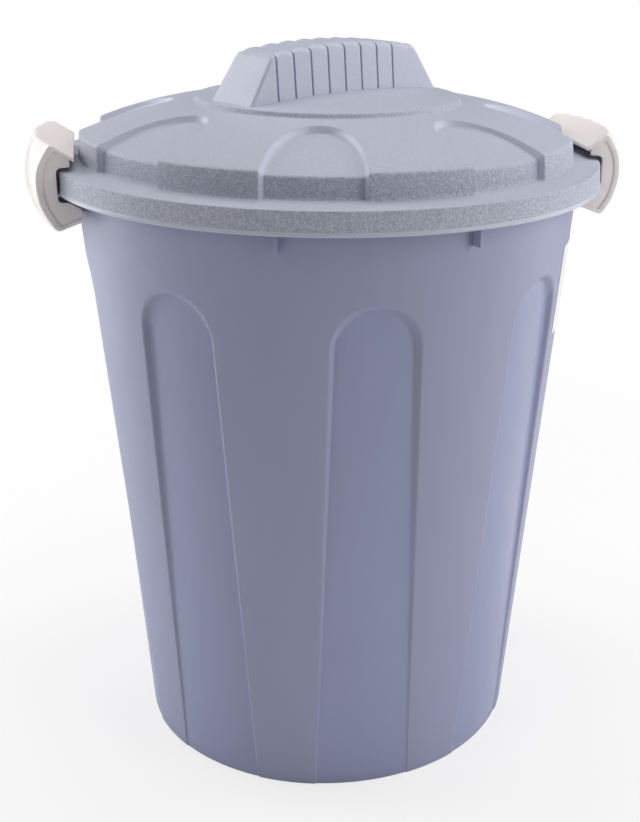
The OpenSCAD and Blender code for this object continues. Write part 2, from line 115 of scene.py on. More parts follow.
class LidSizes(bpy.types.PropertyGroup):
    """Sizes of the lid without its grip."""
    turn: degrees("Turn", -13.1, "How far the loose lid is turned on the tub")
    wall: length("Wall", 0.0025, "Thickness of the lid")
    skirt_r: length("Skirt radius", 0.225, "Outside radius of the lip along the skirt")
    skirt_low_r: length("Skirt radius above lip", 0.2242, "Outside radius just above that lip")
    skirt_top_r: length("Skirt radius at corner", 0.2235, "Outside radius at the ledge")
    skirt_z: length("Skirt level", 0.4896, "Level of the skirt's lower edge")
    lip_h: length("Lip height", 0.002, "Height of the lip along the skirt")
    ledge_out_z: length("Ledge level, outside", 0.5076, "Level of the ledge at the skirt")
    ledge_in_z: length("Ledge level, inside", 0.5091, "Level of the ledge at the raised wall")
    seat_z: length("Seat level", 0.5051, "Level of the face that rests on the rim")
    raise_low_r: length("Raised wall radius, low", 0.2022, "Radius of the raised wall at its foot")
    raise_top_r: length("Raised wall radius, high", 0.2006, "Radius of the raised wall on top")
    shoulder_z: length("Shoulder level", 0.5284, "Level of the shoulder")
    dome_bulge: length("Dome bulge", 0.0038, "Bulge of the dome above a straight cone")
    boss_low_r: length("Boss radius, low", 0.109, "Radius of the round boss at its foot")
    boss_top_r: length("Boss radius, high", 0.1075, "Radius of the round boss at its edge")
    boss_low_z: length("Boss level, low", 0.5513, "Level where the dome meets the boss")
    boss_edge_z: length("Boss level, edge", 0.5551, "Level of the boss's edge")
    crown_z: length("Crown level", 0.5608, "Level of the middle of the boss")
    guide_r: length("Guide radius", 0.2029, "Radius of the centring ring underneath")
    guide_z: length("Guide level", 0.494, "Level of the centring ring's lower edge")
    arches: count("Arches", 8, "Number of sunk arches", 3)
    arch_half: length("Arch half width", 0.0375, "Half width of an arch")
    arch_len: length("Arch length", 0.084, "Length of the half oval that shapes an arch")
    arch_r: length("Arch centre", 0.212, "Radius of the centre of that oval")
    arch_deep: length("Arch depth", 0.005, "Depth of an arch")
    arch_slope: length("Arch step width", 0.0027, "Width of an arch's sloped edge")
    shoulder_soft: length("Shoulder rounding", 0.0018, "Rounding between the raised wall and the dome")
    edge_soft: length("Edge rounding", 0.0012, "Rounding of the boss's and the skirt's upper edges")


class GripSizes(bpy.types.PropertyGroup):
    """Sizes of the ridged grip on the lid."""
    turn: degrees("Turn", 45, "Direction of the grip on the lid")
    foot_z: length("Foot level", 0.549, "Level where the grip's skin ends inside the boss")
    base_z: length("Base level", 0.5562, "Level at which the foot sizes are measured")
    low_half: length("Half length, low", 0.100, "Half length of the grip at its foot")
    top_half: length("Half length, high", 0.0755, "Half length of the grip at its top")
    low_side: length("Half width, low", 0.025, "Half width of the grip at its foot")
    top_side: length("Half width, high", 0.0215, "Half width of the grip at its top")
    top_z: length("Top level", LID_HIGH.z, "Level of the grip's highest point")
    drop: length("End drop", 0.0054, "Drop of the top from the middle to the ends")
    round_top: length("Top rounding", 0.0042, "Rounding along the top edges")
    round_end: length("End rounding", 0.003, "Rounding along the end faces")
    crest_soft: length("Crest rounding", 0.003, "Rounding where the top meets the sloped ends")
    grooves: count("Grooves", 8, "Number of grooves")
    pitch: length("Groove spacing", 0.0177, "Distance between grooves")
    shift: length("Groove offset", -0.0115, "Offset of the middle of the grooves along the grip", -0.05)
    groove_w: length("Groove width", 0.0013, "Width of a groove")
    groove_d: length("Groove depth", 0.0022, "Depth of a groove")
    swell: length("Segment swell", 0.0018, "How far a segment's top stands above its grooves")


class HandleSizes(bpy.types.PropertyGroup):
    """Sizes of a locking handle, seen in section through the bin's axis."""
    half: length("Half width", HANDLE_HIGH.y, "Half width of a handle along the rim")
    wall: length("Wall", 0.003, "Thickness of a handle")
    border: length("Border", 0.0049, "Width of the border round an end plate")
    sink: length("End plate depth", 0.001, "How far an end plate lies behind its border")
    back_r: length("Back radius", 0.0552, "Radius of the curve of the back")
    back_x: length("Back centre", 0.1885, "Radius at which that curve is centred")
    back_z: length("Back centre level", 0.498, "Level of the centre of that curve")
    ridge_z: length("Ridge level", 0.530, "Level of the middle of the top ridge")
    low_z: length("Lower end level", 0.4614, "Level of the lower end")
    tip_x: length("Top edge place", 0.205, "Distance of the top plate's straight edge from the axis")
    tip_z: length("Top edge level", 0.5185, "Level of that edge")
    tip_t: length("Top edge thickness", 0.0027, "Thickness of the end plates at that edge")
    lip_x: length("Lip tip radius", 0.2096, "Radius that the lower lip's tip reaches")
    lip_z: length("Lip tip level", 0.4728, "Level of the top of the lower lip's tip")
    lip_t: length("Lip thickness", 0.0038, "Thickness of the lower lip's tip")
    lip_lean: length("Lip lean", 0.0016, "Lean of the lower lip's front face")
    web_x: length("End plate reach", 0.2011, "Distance of an end plate's lower corner from the axis plane")
    web_z: length("End plate corner level", 0.4788, "Level of the end plates' corner over the lip")
    web_over: length("End plate over the ledge", 0.5108, "Level of an end plate's edge over the lid's ledge")
    pull_low: length("Draw in, low", 0.0018, "How far the back is drawn in at its ends")
    pull_top: length("Draw in, high", 0.0024, "How much further it is drawn in at the ridge")
    ridge_fall: length("Ridge fall", 0.0008, "How far the ridge falls towards its ends")
    edge: length("End rounding", 0.0009, "Rounding of the edges round the end plates")
    mouth_x: length("Mouth place", 0.2188, "Distance of the mouth's upright edge from the axis plane")
    mouth_high: length("Mouth level, high", 0.5066, "Level from which the back is drawn in further")
    mouth_low: length("Mouth level, low", 0.4844, "Level of the mouth's lower corner")
    hinge_x: length("Hinge radius", 0.2185, "Distance of the hinge line from the bin's axis")
    hinge_z: length("Hinge level", 0.474, "Level of the hinge line")
    pin_r: length("Pin radius", 0.0032, "Radius of a hinge pin")
    socket_r: length("Socket radius", 0.0064, "Outside radius of a hinge socket")
    lug_y: length("Lug place", 0.0485, "Distance of a lug from the middle of its handle")
    lug_t: length("Lug thickness", 0.005, "Thickness of a lug")
    lug_gap: length("Lug clearance", 0.0006, "Gap on each side of a lug in its slot")
    ribs: count("Finger ribs", 6, "Number of finger ribs")
    rib_pitch: length("Finger rib spacing", 0.0196, "Distance between finger ribs")
    rib_out: length("Finger rib height", 0.0013, "How far a finger rib stands out")


class LabelSizes(bpy.types.PropertyGroup):
    """Sizes of the blank sticker."""
    angle: degrees("Angle", 68, "Angle from the front to the label's middle")
    half_angle: degrees("Half span", 9.75, "Half of the angle that the label spans")
    low_z: length("Level", 0.3728, "Level of the label's lower edge")
    height: length("Height", 0.075, "Height of the label")
    glue: length("Glue", 0.0001, "Thickness of the glue under the label")
    thick: length("Thickness", 0.0003, "Thickness of the label")
    corner: length("Corner", 0.002, "Rounding of the label's corners")


class Finishes(bpy.types.PropertyGroup):
    """Colours of the plastics and the sticker."""
    tub: colour("Tub", "#9C9FBC", "Blue-grey polypropylene of the tub")
    lid: colour("Lid", "#B4B8C7", "Paler blue-grey polypropylene of the lid")
    handle: colour("Handles", "#FCF4F2", "White polypropylene of the handles")
    label: colour("Label", "#F0EFEC", "Coated paper of the sticker")
    backdrop: colour("Floor", "#F4F4F4", "Paper floor")


GROUPS = {"bin_tub": TubSizes, "bin_lid": LidSizes, "bin_grip": GripSizes,
          "bin_handle": HandleSizes, "bin_label": LabelSizes, "bin_finish": Finishes}


# Curves and grids

def ease(t):
    """A smooth step: three t squared minus two t cubed, held at 0 and 1."""
    t = np.clip(t, 0, 1)
    return t * t * (3 - 2 * t)


def line(a, b, n):
    """n points on the straight line from a up to but not including b. Rows of
    points for a and b give a row of such lines."""
    a, b = (np.asarray(p, float)[..., None, :] for p in (a, b))
    return a + (b - a) * (np.arange(n)[:, None] / n)


def bend(a, corner, b, n):
    """n points of the parabola from a to b that a corner pulls, b left out:
    (1-t) squared times a, plus 2t(1-t) times the corner, plus t squared times b."""
    t = np.arange(n)[:, None] / n
    a, corner, b = (np.asarray(p, float)[..., None, :] for p in (a, corner, b))
    return (1 - t) ** 2 * a + 2 * t * (1 - t) * corner + t * t * b


def rounded(points, radii, n=5, closed=True):
    """The outline through the points with each corner replaced by a parabola
    that starts and ends a given distance before and after it."""
    pts = np.asarray(points, float)
    out = []
    for i, (p, r) in enumerate(zip(pts, radii)):
        if r <= 0 or (not closed and i in (0, len(pts) - 1)):
            out.append(p[None])
            continue
        before, after = pts[i - 1] - p, pts[(i + 1) % len(pts)] - p
        a = p + before / np.linalg.norm(before) * r
        b = p + after / np.linalg.norm(after) * r
        out.append(np.vstack([bend(a, p, b, n), b[None]]))
    return np.vstack(out)


def inset(points, by):
    """A closed outline moved inwards: each point goes along the mean of its two edges'
    normals, so that both edges move by the distance. Sharp corners are held back."""
    side = np.roll(points, -1, axis=0) - points
    side /= np.linalg.norm(side, axis=1)[:, None]
    normal = np.c_[-side[:, 1], side[:, 0]]
    area = np.sum(points[:, 0] * np.roll(points[:, 1], -1) - points[:, 1] * np.roll(points[:, 0], -1))
    mean = normal + np.roll(normal, 1, axis=0)
    mean /= np.maximum(np.sum(mean * normal, axis=1)[:, None], 0.6)
    return points + mean * by * (1 if area > 0 else -1)


def quads(rows, cols, wrap_rows=False, wrap_cols=False):
    """Four corners of every cell of a grid of rows and columns, row by row."""
    i = np.arange(rows if wrap_rows else rows - 1)[:, None]
    j = np.arange(cols if wrap_cols else cols - 1)[None, :]
    i2, j2 = (i + 1) % rows, (j + 1) % cols
    cells = [i * cols + j, i * cols + j2, i2 * cols + j2, i2 * cols + j]
    return np.stack([np.broadcast_to(c, (i.shape[0], j.shape[1])) for c in cells], -1).reshape(-1, 4)


def tube(grid, ends=True):
    """A closed skin from rings of points, each ring joined to the next and both ends filled."""
    rows, cols, _ = grid.shape
    faces = quads(rows, cols, wrap_cols=True).tolist()
    if ends:
        faces += [list(range(cols))[::-1], list(range((rows - 1) * cols, rows * cols))]
    return grid.reshape(-1, 3), faces


def join(parts):
    """Several skins as one list of points and one list of faces."""
    verts, faces, start = [], [], 0
    for v, f in parts:
        verts.append(v)
        faces += [[k + start for k in face] for face in f]
        start += len(v)
    return np.vstack(verts), faces


def volume(verts, faces):
    """Signed volume: the sum over each face's fan of corner dot (corner cross corner) by six."""
    total = 0.0
    for size in {len(f) for f in faces}:
        f = np.array([g for g in faces if len(g) == size])
        for k in range(1, size - 1):
            a, b, c = verts[f[:, 0]], verts[f[:, k]], verts[f[:, k + 1]]
            total += np.einsum("ij,ij->", a, np.cross(b, c)) / 6
    return total


def outward(verts, faces):
    """The same closed skin with its faces turned to point outwards."""
    return (verts, faces) if volume(verts, faces) > 0 else (verts, [f[::-1] for f in faces])


def mesh_object(name, parts, body, slot, nodes=(), marks=(), crease=0):
    """A new piece from closed skins, smooth shaded, that rides on a body. marks are
    pairs of an attribute's name and its value at every point. Edges that turn by more
    than the crease, in degrees, are shaded as sharp."""
    verts, faces = join([outward(v, f) for v, f in parts])
    mesh = bpy.data.meshes.new(name)
    mesh.from_pydata(verts.tolist(), [], faces)
    mesh.update()
    mesh.polygons.foreach_set("use_smooth", np.ones(len(mesh.polygons), bool))
    for mark, values in marks:
        mesh.attributes.new(mark, "FLOAT", "POINT").data.foreach_set("value", values.astype(np.float32))
    mesh.materials.append(material_for(slot))
    if mesh.validate():
        raise RuntimeError(f"{name} had faces that Blender had to mend")
    if crease:
        mesh.set_sharp_from_angle(angle=math.radians(crease))
    piece = bpy.data.objects.new(name, mesh)
    bpy.context.scene.collection.objects.link(piece)
    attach(piece, body)
    if nodes:
        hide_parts(*nodes)


def revolved(r, z, phi):
    """A closed skin of revolution with a pole at each end: x is r sin(phi), y is
    minus r cos(phi), for every row of the profile and every column round it."""
    phi = np.broadcast_to(phi, r.shape)
    grid = np.stack([r * np.sin(phi), -r * np.cos(phi), z], -1)
    rows, cols = r.shape
    faces = quads(rows, cols, wrap_cols=True).tolist()
    poles = np.array([[0, 0, z[0].mean()], [0, 0, z[-1].mean()]])
    first, last = rows * cols, rows * cols + 1
    faces += [[first, (j + 1) % cols, j] for j in range(cols)]
    faces += [[last, (rows - 1) * cols + j, (rows - 1) * cols + (j + 1) % cols] for j in range(cols)]
    return np.vstack([grid.reshape(-1, 3), poles]), faces


def sector_columns(half, band, end, counts):
    """Distances across half a sector: coarse up to the step's edge, fine over the
    step, coarse to the sector's end. One row of distances for each row of sizes."""
    inner, fine, outer = (np.arange(n) / n for n in counts)
    half, band, end = (np.asarray(a, float)[:, None] for a in (half, band, end))
    x = np.hstack([inner * (half - band), half - band + fine * 2 * band,
                   half + band + outer * (end - half - band), end])
    return np.hstack([-x[:, :0:-1], x[:, :-1]])


def plate(outline, low, high, edge, place):
    """A flat plate with rounded edges: the outline is drawn in by e(1 - sin a)
    while it rises by e(1 - cos a) from each face. place maps it into space."""
    rings = [(edge, low), (edge * 0.3, low + edge * 0.3), (0, low + edge),
             (0, high - edge), (edge * 0.3, high - edge * 0.3), (edge, high)]
    grid = np.stack([place(inset(outline, by) if by else outline, level) for by, level in rings])
    return tube(grid)


# Materials

# Places of a Mix node's two colour inputs and of its colour output
MIX_A, MIX_B, MIX_OUT = 6, 7, 2
COLOUR_MIX = {"data_type": "RGBA"}
# What a panel's colour is multiplied by, and the index of refraction of polypropylene
PANEL_TINT = (0.95, 0.98, 1.02, 1.0)
PLASTIC_IOR = 1.49


def fill(tree, node, values):
    """Gives a node its values. Each goes to the attribute or the input of that name, or
    to the input at that place; a value that is a socket is linked."""
    for key, value in values.items():
        if isinstance(value, bpy.types.NodeSocket):
            tree.links.new(value, node.inputs[key])
        elif isinstance(key, str) and hasattr(node, key):
            setattr(node, key, value)
        else:
            node.inputs[key].default_value = value


def add_node(tree, kind, values, result=0):
    """Adds a node with its settings and links, and gives its output of that name or place."""
    node = tree.nodes.new(kind)
    fill(tree, node, values)
    return node.outputs[result] if node.outputs else None


def per_metre(size):
    """Scale of a pattern from the size of one grain or mark in millimetres."""
    return 1000 / size


def scaled(finish, factor):
    """A colour made brighter or darker, with an alpha of one."""
    return tuple(min(1, c * factor) for c in finish) + (1.0,)


def new_material(name):
    """An empty node material with its shader joined to the output, and its tree and
    shader, and where a point lies on its object."""
    material = bpy.data.materials.new(name)
    material.use_nodes = True
    tree = material.node_tree
    tree.nodes.clear()
    shader = tree.nodes.new("ShaderNodeBsdfPrincipled")
    add_node(tree, "ShaderNodeOutputMaterial", {"Surface": shader.outputs["BSDF"]})
    return material, tree, shader, add_node(tree, "ShaderNodeTexCoord", {}, "Object")


def tub_plastic(finish):
    """Polypropylene, injection-moulded in a lightly textured tool. The texture gives a
    satin sheen; the sunk panels come from a smoother part of the tool and mirror more."""
    material, tree, shader, where = new_material("Moulded satin polypropylene")
    polish = add_node(tree, "ShaderNodeAttribute", {"attribute_name": "polish"}, "Fac")
    # Tool texture with a grain of about 0.8 mm, drawn at twice that so that it shows
    grain = add_node(tree, "ShaderNodeTexNoise", {"Vector": where, "Scale": per_metre(1.61), "Detail": 2.0,
                                                  "Roughness": 0.6})
    # Upright flow marks about 30 mm wide, from the way that the melt filled the wall
    drawn = add_node(tree, "ShaderNodeMapping", {"Vector": where, "Scale": (1.0, 1.0, 0.28)})
    flow = add_node(tree, "ShaderNodeTexNoise", {"Vector": drawn, "Scale": per_metre(29.4), "Detail": 3.0})
    tint = add_node(tree, "ShaderNodeMix", COLOUR_MIX | {0: flow, MIX_A: scaled(finish, 0.97),
                                                         MIX_B: scaled(finish, 1.05)}, MIX_OUT)
    # Painted reflection: the smoother panels are painted a little bluer, because less white sheen lies on
    # them
    bluer = add_node(tree, "ShaderNodeMix", COLOUR_MIX | {"blend_type": "MULTIPLY", 0: polish, MIX_A: tint,
                                                          MIX_B: PANEL_TINT}, MIX_OUT)
    rough = add_node(tree, "ShaderNodeMath", {"operation": "MULTIPLY_ADD", 0: polish, 1: -0.19, 2: 0.46})
    depth = add_node(tree, "ShaderNodeMath", {"operation": "MULTIPLY_ADD", 0: polish, 1: -0.15, 2: 0.2})
    pitted = add_node(tree, "ShaderNodeBump", {"Height": grain, "Strength": depth, "Distance": 0.0004})
    waves = add_node(tree, "ShaderNodeBump", {"Height": flow, "Normal": pitted, "Strength": 0.35,
                                              "Distance": 0.0006})
    fill(tree, shader, {"Base Color": bluer, "Roughness": rough, "Normal": waves, "IOR": PLASTIC_IOR})
    return material


def lid_plastic(finish):
    """Polypropylene from a spark-eroded tool: a matt, evenly pitted grain that breaks
    every highlight into speckles, with painted highlight speckles in its colour. It is coarser
    on upright faces, as the attribute named grain says. The bead along the skirt is smooth and
    painted paler, a painted highlight."""
    material, tree, shader, where = new_material("Spark-grained polypropylene")
    grain, polish = (add_node(tree, "ShaderNodeAttribute", {"attribute_name": name}, "Fac")
                     for name in ("grain", "polish"))
    # Pits of about a millimetre, drawn a little wider than they are so that they show
    pits = add_node(tree, "ShaderNodeTexNoise", {"Vector": where, "Scale": per_metre(1.56), "Detail": 2.0,
                                                 "Roughness": 0.6})
    cells = add_node(tree, "ShaderNodeTexVoronoi", {"Vector": where, "Scale": per_metre(1.32)}, "Distance")
    height = add_node(tree, "ShaderNodeMath", {"operation": "MULTIPLY_ADD", 0: cells, 1: 0.6, 2: pits})
    # Painted highlight: the colour goes lighter and darker with the pits, partly the grain's own tone and
    # partly painted glints where the grain breaks up highlights
    dark = add_node(tree, "ShaderNodeMapRange", {"Value": pits, "From Min": 0.38, "From Max": 0.62})
    speckle = add_node(tree, "ShaderNodeMix", COLOUR_MIX | {0: dark, MIX_A: scaled(finish, 0.82),
                                                            MIX_B: scaled(finish, 1.18)}, MIX_OUT)
    # Painted highlight: smoother places are painted up to a fifth paler, for the bright lines along the
    # skirt's bead and the arches' slopes, and the grip's sheen
    plain = add_node(tree, "ShaderNodeMix", COLOUR_MIX | {0: polish, MIX_A: scaled(finish, 1.0),
                                                          MIX_B: scaled(finish, 1.22)}, MIX_OUT)
    both = add_node(tree, "ShaderNodeMix", COLOUR_MIX | {0: grain, MIX_A: plain, MIX_B: speckle}, MIX_OUT)
    matt = add_node(tree, "ShaderNodeMapRange", {"Value": pits, "From Min": 0.3, "From Max": 0.9,
                                                 "To Min": 0.6, "To Max": 0.46})
    rough = add_node(tree, "ShaderNodeMath", {"operation": "MULTIPLY_ADD", 0: polish, 1: -0.22, 2: matt})
    depth = add_node(tree, "ShaderNodeMath", {"operation": "MULTIPLY_ADD", 0: grain, 1: 0.5, 2: 0.1})
    bump = add_node(tree, "ShaderNodeBump", {"Height": height, "Strength": depth, "Distance": 0.0008})
    fill(tree, shader, {"Base Color": both, "Roughness": rough, "Normal": bump, "IOR": PLASTIC_IOR})
    return material


def handle_plastic(finish):
    """White polypropylene from a polished tool: smooth, slightly waxy and a little
    translucent, with broad highlights and a faint ripple where the wall changes."""
    material, tree, shader, where = new_material("Polished white polypropylene")
    # Ripples about 14 mm wide, and a fine unevenness of the gloss about a millimetre wide
    ripple, fine = (add_node(tree, "ShaderNodeTexNoise", {"Vector": where, "Scale": per_metre(size),
                                                          "Detail": 2.0}) for size in (14.3, 1.11))
    warm = (finish[0], finish[1] * 0.975, finish[2] * 0.965, 1.0)
    tint = add_node(tree, "ShaderNodeMix", COLOUR_MIX | {0: ripple, MIX_A: scaled(finish, 1.0),
                                                         MIX_B: warm}, MIX_OUT)
    rough = add_node(tree, "ShaderNodeMapRange", {"Value": fine, "From Min": 0.3, "From Max": 0.7,
                                                  "To Min": 0.3, "To Max": 0.4})
    bump = add_node(tree, "ShaderNodeBump", {"Height": ripple, "Strength": 0.12, "Distance": 0.0005})
    fill(tree, shader, {"Base Color": tint, "Roughness": rough, "Normal": bump, "IOR": PLASTIC_IOR,
                        "Subsurface Weight": 0.25, "Subsurface Radius": (1.0, 0.9, 0.85),
                        "Subsurface Scale": 0.003})
    return material


def label_paper(finish):
    """Coated paper with a calendered face: white, nearly matt, with a fibre texture."""
    material, tree, shader, where = new_material("Coated paper")
    # Fibres of about 0.36 mm, drawn at twice that, and cloudy patches of about 17 mm
    fibre = add_node(tree, "ShaderNodeTexNoise", {"Vector": where, "Scale": per_metre(0.714), "Detail": 3.0})
    cloud = add_node(tree, "ShaderNodeTexNoise", {"Vector": where, "Scale": per_metre(16.7), "Detail": 2.0})
    tint = add_node(tree, "ShaderNodeMix", COLOUR_MIX | {0: cloud, MIX_A: scaled(finish, 1.0),
                                                         MIX_B: scaled(finish, 0.95)}, MIX_OUT)
    bump = add_node(tree, "ShaderNodeBump", {"Height": fibre, "Strength": 0.15, "Distance": 0.0002})
    fill(tree, shader, {"Base Color": tint, "Roughness": 0.55, "Normal": bump, "IOR": 1.5})
    return material


MAKERS = {"tub_plastic": (tub_plastic, "tub"), "lid_plastic": (lid_plastic, "lid"),
          "handle_plastic": (handle_plastic, "handle"), "label_paper": (label_paper, "label")}
MADE = {}


def material_for(slot):
    """The material of that slot in the scene's colours, made once."""
    if slot not in MADE:
        maker, part = MAKERS[slot]
        MADE[slot] = maker(tuple(getattr(bpy.context.scene.bin_finish, part)))
    return MADE[slot]


# The tub

def tub_wall_r(s, z):
    """Outside radius of the tub's cone at a level."""
    return s.base_r + (s.top_r - s.base_r) * z / s.height


def panel_half(s, z):
    """Half width of a panel: it narrows evenly up to the arch's centre, then stays."""
    return s.panel_low + (s.panel_high - s.panel_low) * np.clip(z / s.arch_z, 0, 1)


def panel_depth(s, across, z, widen):
    """How deep the wall is sunk at a point: the panel's depth at that level, times
    an ease over the slope's width of the distance inside the panel's outline."""
    top = s.arch_z + s.panel_high
    share = np.clip(z / top, 0, 1)
    below = panel_half(s, z) + widen - np.abs(across)
    above = s.panel_high + widen - np.hypot(across, z - s.arch_z)
    inside = np.where(z < s.arch_z, below, above)
    slope = s.slope_low + (s.slope_high - s.slope_low) * share
    weight = ease(inside / slope + 0.5)
    return (s.deep_low + (s.deep_high - s.deep_low) * share) * weight, weight


def tub_profile(s):
    """Rows of the tub's section: radius, level, share of the panel's depth, and how
    much the panel is widened there. It runs from the underside of the floor up the wall,
    over the rim and down the inside. The small offsets round its corners."""
    wall, t = s.wall, s.rim_t
    arch_low, arch_top = s.arch_z - 0.008, s.arch_z + s.panel_high + 0.004
    steps = np.concatenate([np.linspace(0.0016, arch_low, 34, endpoint=False),
                            np.linspace(arch_low, arch_top, 40, endpoint=False),
                            np.linspace(arch_top, s.height - t - 0.003, 10)])
    outer = np.c_[tub_wall_r(s, steps), steps, np.ones(len(steps)), np.zeros(len(steps))]
    foot_r = s.base_r - s.deep_low - s.foot_w
    foot = [(foot_r * 0.5, s.floor_lift, 0, 0), (foot_r - 0.002, s.floor_lift, 0, 0),
            (foot_r, s.floor_lift - 0.001, 0, 0), (foot_r, 0.0012, 0, 0), (foot_r + 0.0006, 0.0002, 0, 0),
            (foot_r + 0.0014, 0, 0, 0), (s.base_r - 0.0016, 0, 1, 0), (s.base_r - 0.0006, 0.0004, 1, 0)]
    top, rim, lip = s.height, s.rim_r, s.height - s.rim_drop
    neck = tub_wall_r(s, top - t)
    rim_rows = [(neck + 0.0004, top - t - 0.001), (neck + 0.0016, top - t), (rim - t - 0.001, top - t),
                (rim - t, top - t - 0.001), (rim - t, lip + 0.0008), (rim - t + 0.0006, lip),
                (rim - 0.0006, lip), (rim, lip + 0.0008), (rim, top - 0.0022), (rim - 0.0007, top - 0.0006),
                (rim - 0.0024, top), (s.top_r - wall + 0.0026, top), (s.top_r - wall + 0.0008, top - 0.0006),
                (s.top_r - wall, top - 0.0024)]
    rim_rows = [(r, z, 0, 0) for r, z in rim_rows]
    down = np.concatenate([np.linspace(top - 0.006, arch_top + wall, 8, endpoint=False),
                           np.linspace(arch_top + wall, arch_low, 26, endpoint=False),
                           np.linspace(arch_low, s.floor_z + 0.006, 24)])
    inner = np.c_[tub_wall_r(s, down) - wall, down, np.ones(len(down)), np.full(len(down), wall)]
    low_r = tub_wall_r(s, s.floor_z) - wall
    corner = [(low_r - 0.0006, s.floor_z + 0.003, 1, wall), (low_r - 0.0026, s.floor_z + 0.0007, 1, wall),
              (low_r - 0.006, s.floor_z, 0.5, wall), (low_r - 0.03, s.floor_z, 0, wall),
              (low_r * 0.4, s.floor_z - 0.0004, 0, wall)]
    return np.vstack([foot, outer, rim_rows, inner, corner])


class BIN_OT_tub(bpy.types.Operator):
    """Builds the tub with its sunk panels, floor and rim"""
    bl_idname = "bin.tub"
    bl_label = "Tub"

    def execute(self, context):
        s = context.scene.bin_tub
        rows = tub_profile(s)
        r, z, share, widen = (rows[:, k][:, None] for k in range(4))
        half = panel_half(s, rows[:, 1]) + rows[:, 3]
        # The step widens upwards, and so does the band of close columns that follows it
        band = 0.0022 + 0.0014 * np.clip(rows[:, 1] / s.arch_z, 0, 1)
        radius = tub_wall_r(s, rows[:, 1])
        across = sector_columns(half, band, radius * math.sin(math.pi / s.panels), (11, 9, 9))
        turn = np.arcsin(across / radius[:, None])
        depth, weight = panel_depth(s, r * np.sin(turn), z, widen)
        full_r = np.tile(r - depth * share, s.panels)
        phi = np.hstack([turn + k * 2 * math.pi / s.panels for k in range(s.panels)])
        skin = revolved(full_r, np.broadcast_to(z, full_r.shape), phi)
        # The panels are smoother, and the material paints them a little bluer as a painted change of sheen
        polish = np.tile(weight * (share > 0) * (widen == 0), s.panels).reshape(-1)
        mesh_object("tub_shell", [skin], "tub_body", "tub_plastic", ["tub"],
                    [("polish", np.append(polish, [0, 0]))])
        return {"FINISHED"}


class BIN_OT_ribs(bpy.types.Operator):
    """Builds the small ribs under the front and back of the rim"""
    bl_idname = "bin.ribs"
    bl_label = "Ribs"

    def execute(self, context):
        s = context.scene.bin_tub
        top = s.height - s.rim_t * 0.5
        inner = tub_wall_r(s, s.rib_z) - s.wall * 0.6
        outer = s.top_r + s.rib_out
        section = rounded([(inner, s.rib_z), (outer, s.rib_z), (outer, top), (inner, top)],
                          [0.0006, 0.0012, 0.0005, 0.0005], 4)
        parts = []
        for angle in (s.rib_angle, -s.rib_angle, math.pi - s.rib_angle, math.pi + s.rib_angle):
            c, n = math.cos(angle), math.sin(angle)

            def place(points, level, c=c, n=n):
                """Turns the section's radius and level to the rib's angle round the axis."""
                return np.c_[points[:, 0] * n + level * c, -points[:, 0] * c + level * n, points[:, 1]]
            parts.append(plate(section, -s.rib_t / 2, s.rib_t / 2, 0.0003, place))
        mesh_object("tub_ribs", parts, "tub_body", "tub_plastic", crease=35)
        return {"FINISHED"}


# The lid

def dome_numbers(s):
    """Centre and radius of the dome's arc, from its two ends and its bulge: the
    radius is chord squared over eight bulges, plus half the bulge."""
    run, rise = s.raise_top_r - s.boss_low_r, s.boss_low_z - s.shoulder_z
    chord = math.hypot(run, rise)
    radius = chord * chord / (8 * s.dome_bulge) + s.dome_bulge / 2
    back = radius - s.dome_bulge
    return ((s.raise_top_r + s.boss_low_r) / 2 - back * rise / chord,
            (s.shoulder_z + s.boss_low_z) / 2 - back * run / chord, radius)


def raised_section(s, by, foot, spread):
    """Section of the raised part moved inwards: dome arc, rounded shoulder, and raised
    wall down to the level of its foot. spread is the number of points before the arches'
    tips, over them, behind them, up to the shoulder, round it and down the wall."""
    mid_r, mid_z, radius = dome_numbers(s)

    def dome(r):
        """Level of the dome's arc at a radius."""
        return mid_z + np.sqrt((radius - by) ** 2 - (r - mid_r) ** 2)

    def wall(z):
        """Radius of the raised wall at a level."""
        share = (z - s.ledge_in_z) / (s.shoulder_z - s.ledge_in_z)
        return s.raise_low_r - by + (s.raise_top_r - s.raise_low_r) * share
    # The corner is where the two meet, found by putting each into the other
    corner_z = s.shoulder_z - by
    for _ in range(8):
        corner_z = dome(wall(corner_z))
    corner_r = wall(corner_z)
    soft, tip = s.shoulder_soft, s.arch_r - s.arch_len
    marks = (s.boss_low_r + 0.003, tip - 0.002, tip + 0.005, tip + 0.017, corner_r - soft)
    arc_r = np.concatenate([np.linspace(*ends, n, endpoint=False)
                            for ends, n in zip(zip(marks, marks[1:]), spread)])
    a = (corner_r - soft, dome(corner_r - soft))
    b = (wall(corner_z - soft), corner_z - soft)
    end = (wall(foot), foot)
    return np.vstack([np.c_[arc_r, dome(arc_r)], bend(a, (corner_r, corner_z), b, spread[4]),
                      line(b, end, spread[5]), [end]])


def boss_level(s, r, by):
    """Level of the boss's domed top at a radius, moved down by a thickness. The radius of
    its ball is the edge's radius squared over two rises, plus half the rise."""
    rise = s.crown_z - s.boss_edge_z
    ball = s.boss_top_r ** 2 / (2 * rise) + rise / 2
    return s.crown_z - ball + np.sqrt((ball - by) ** 2 - r * r)


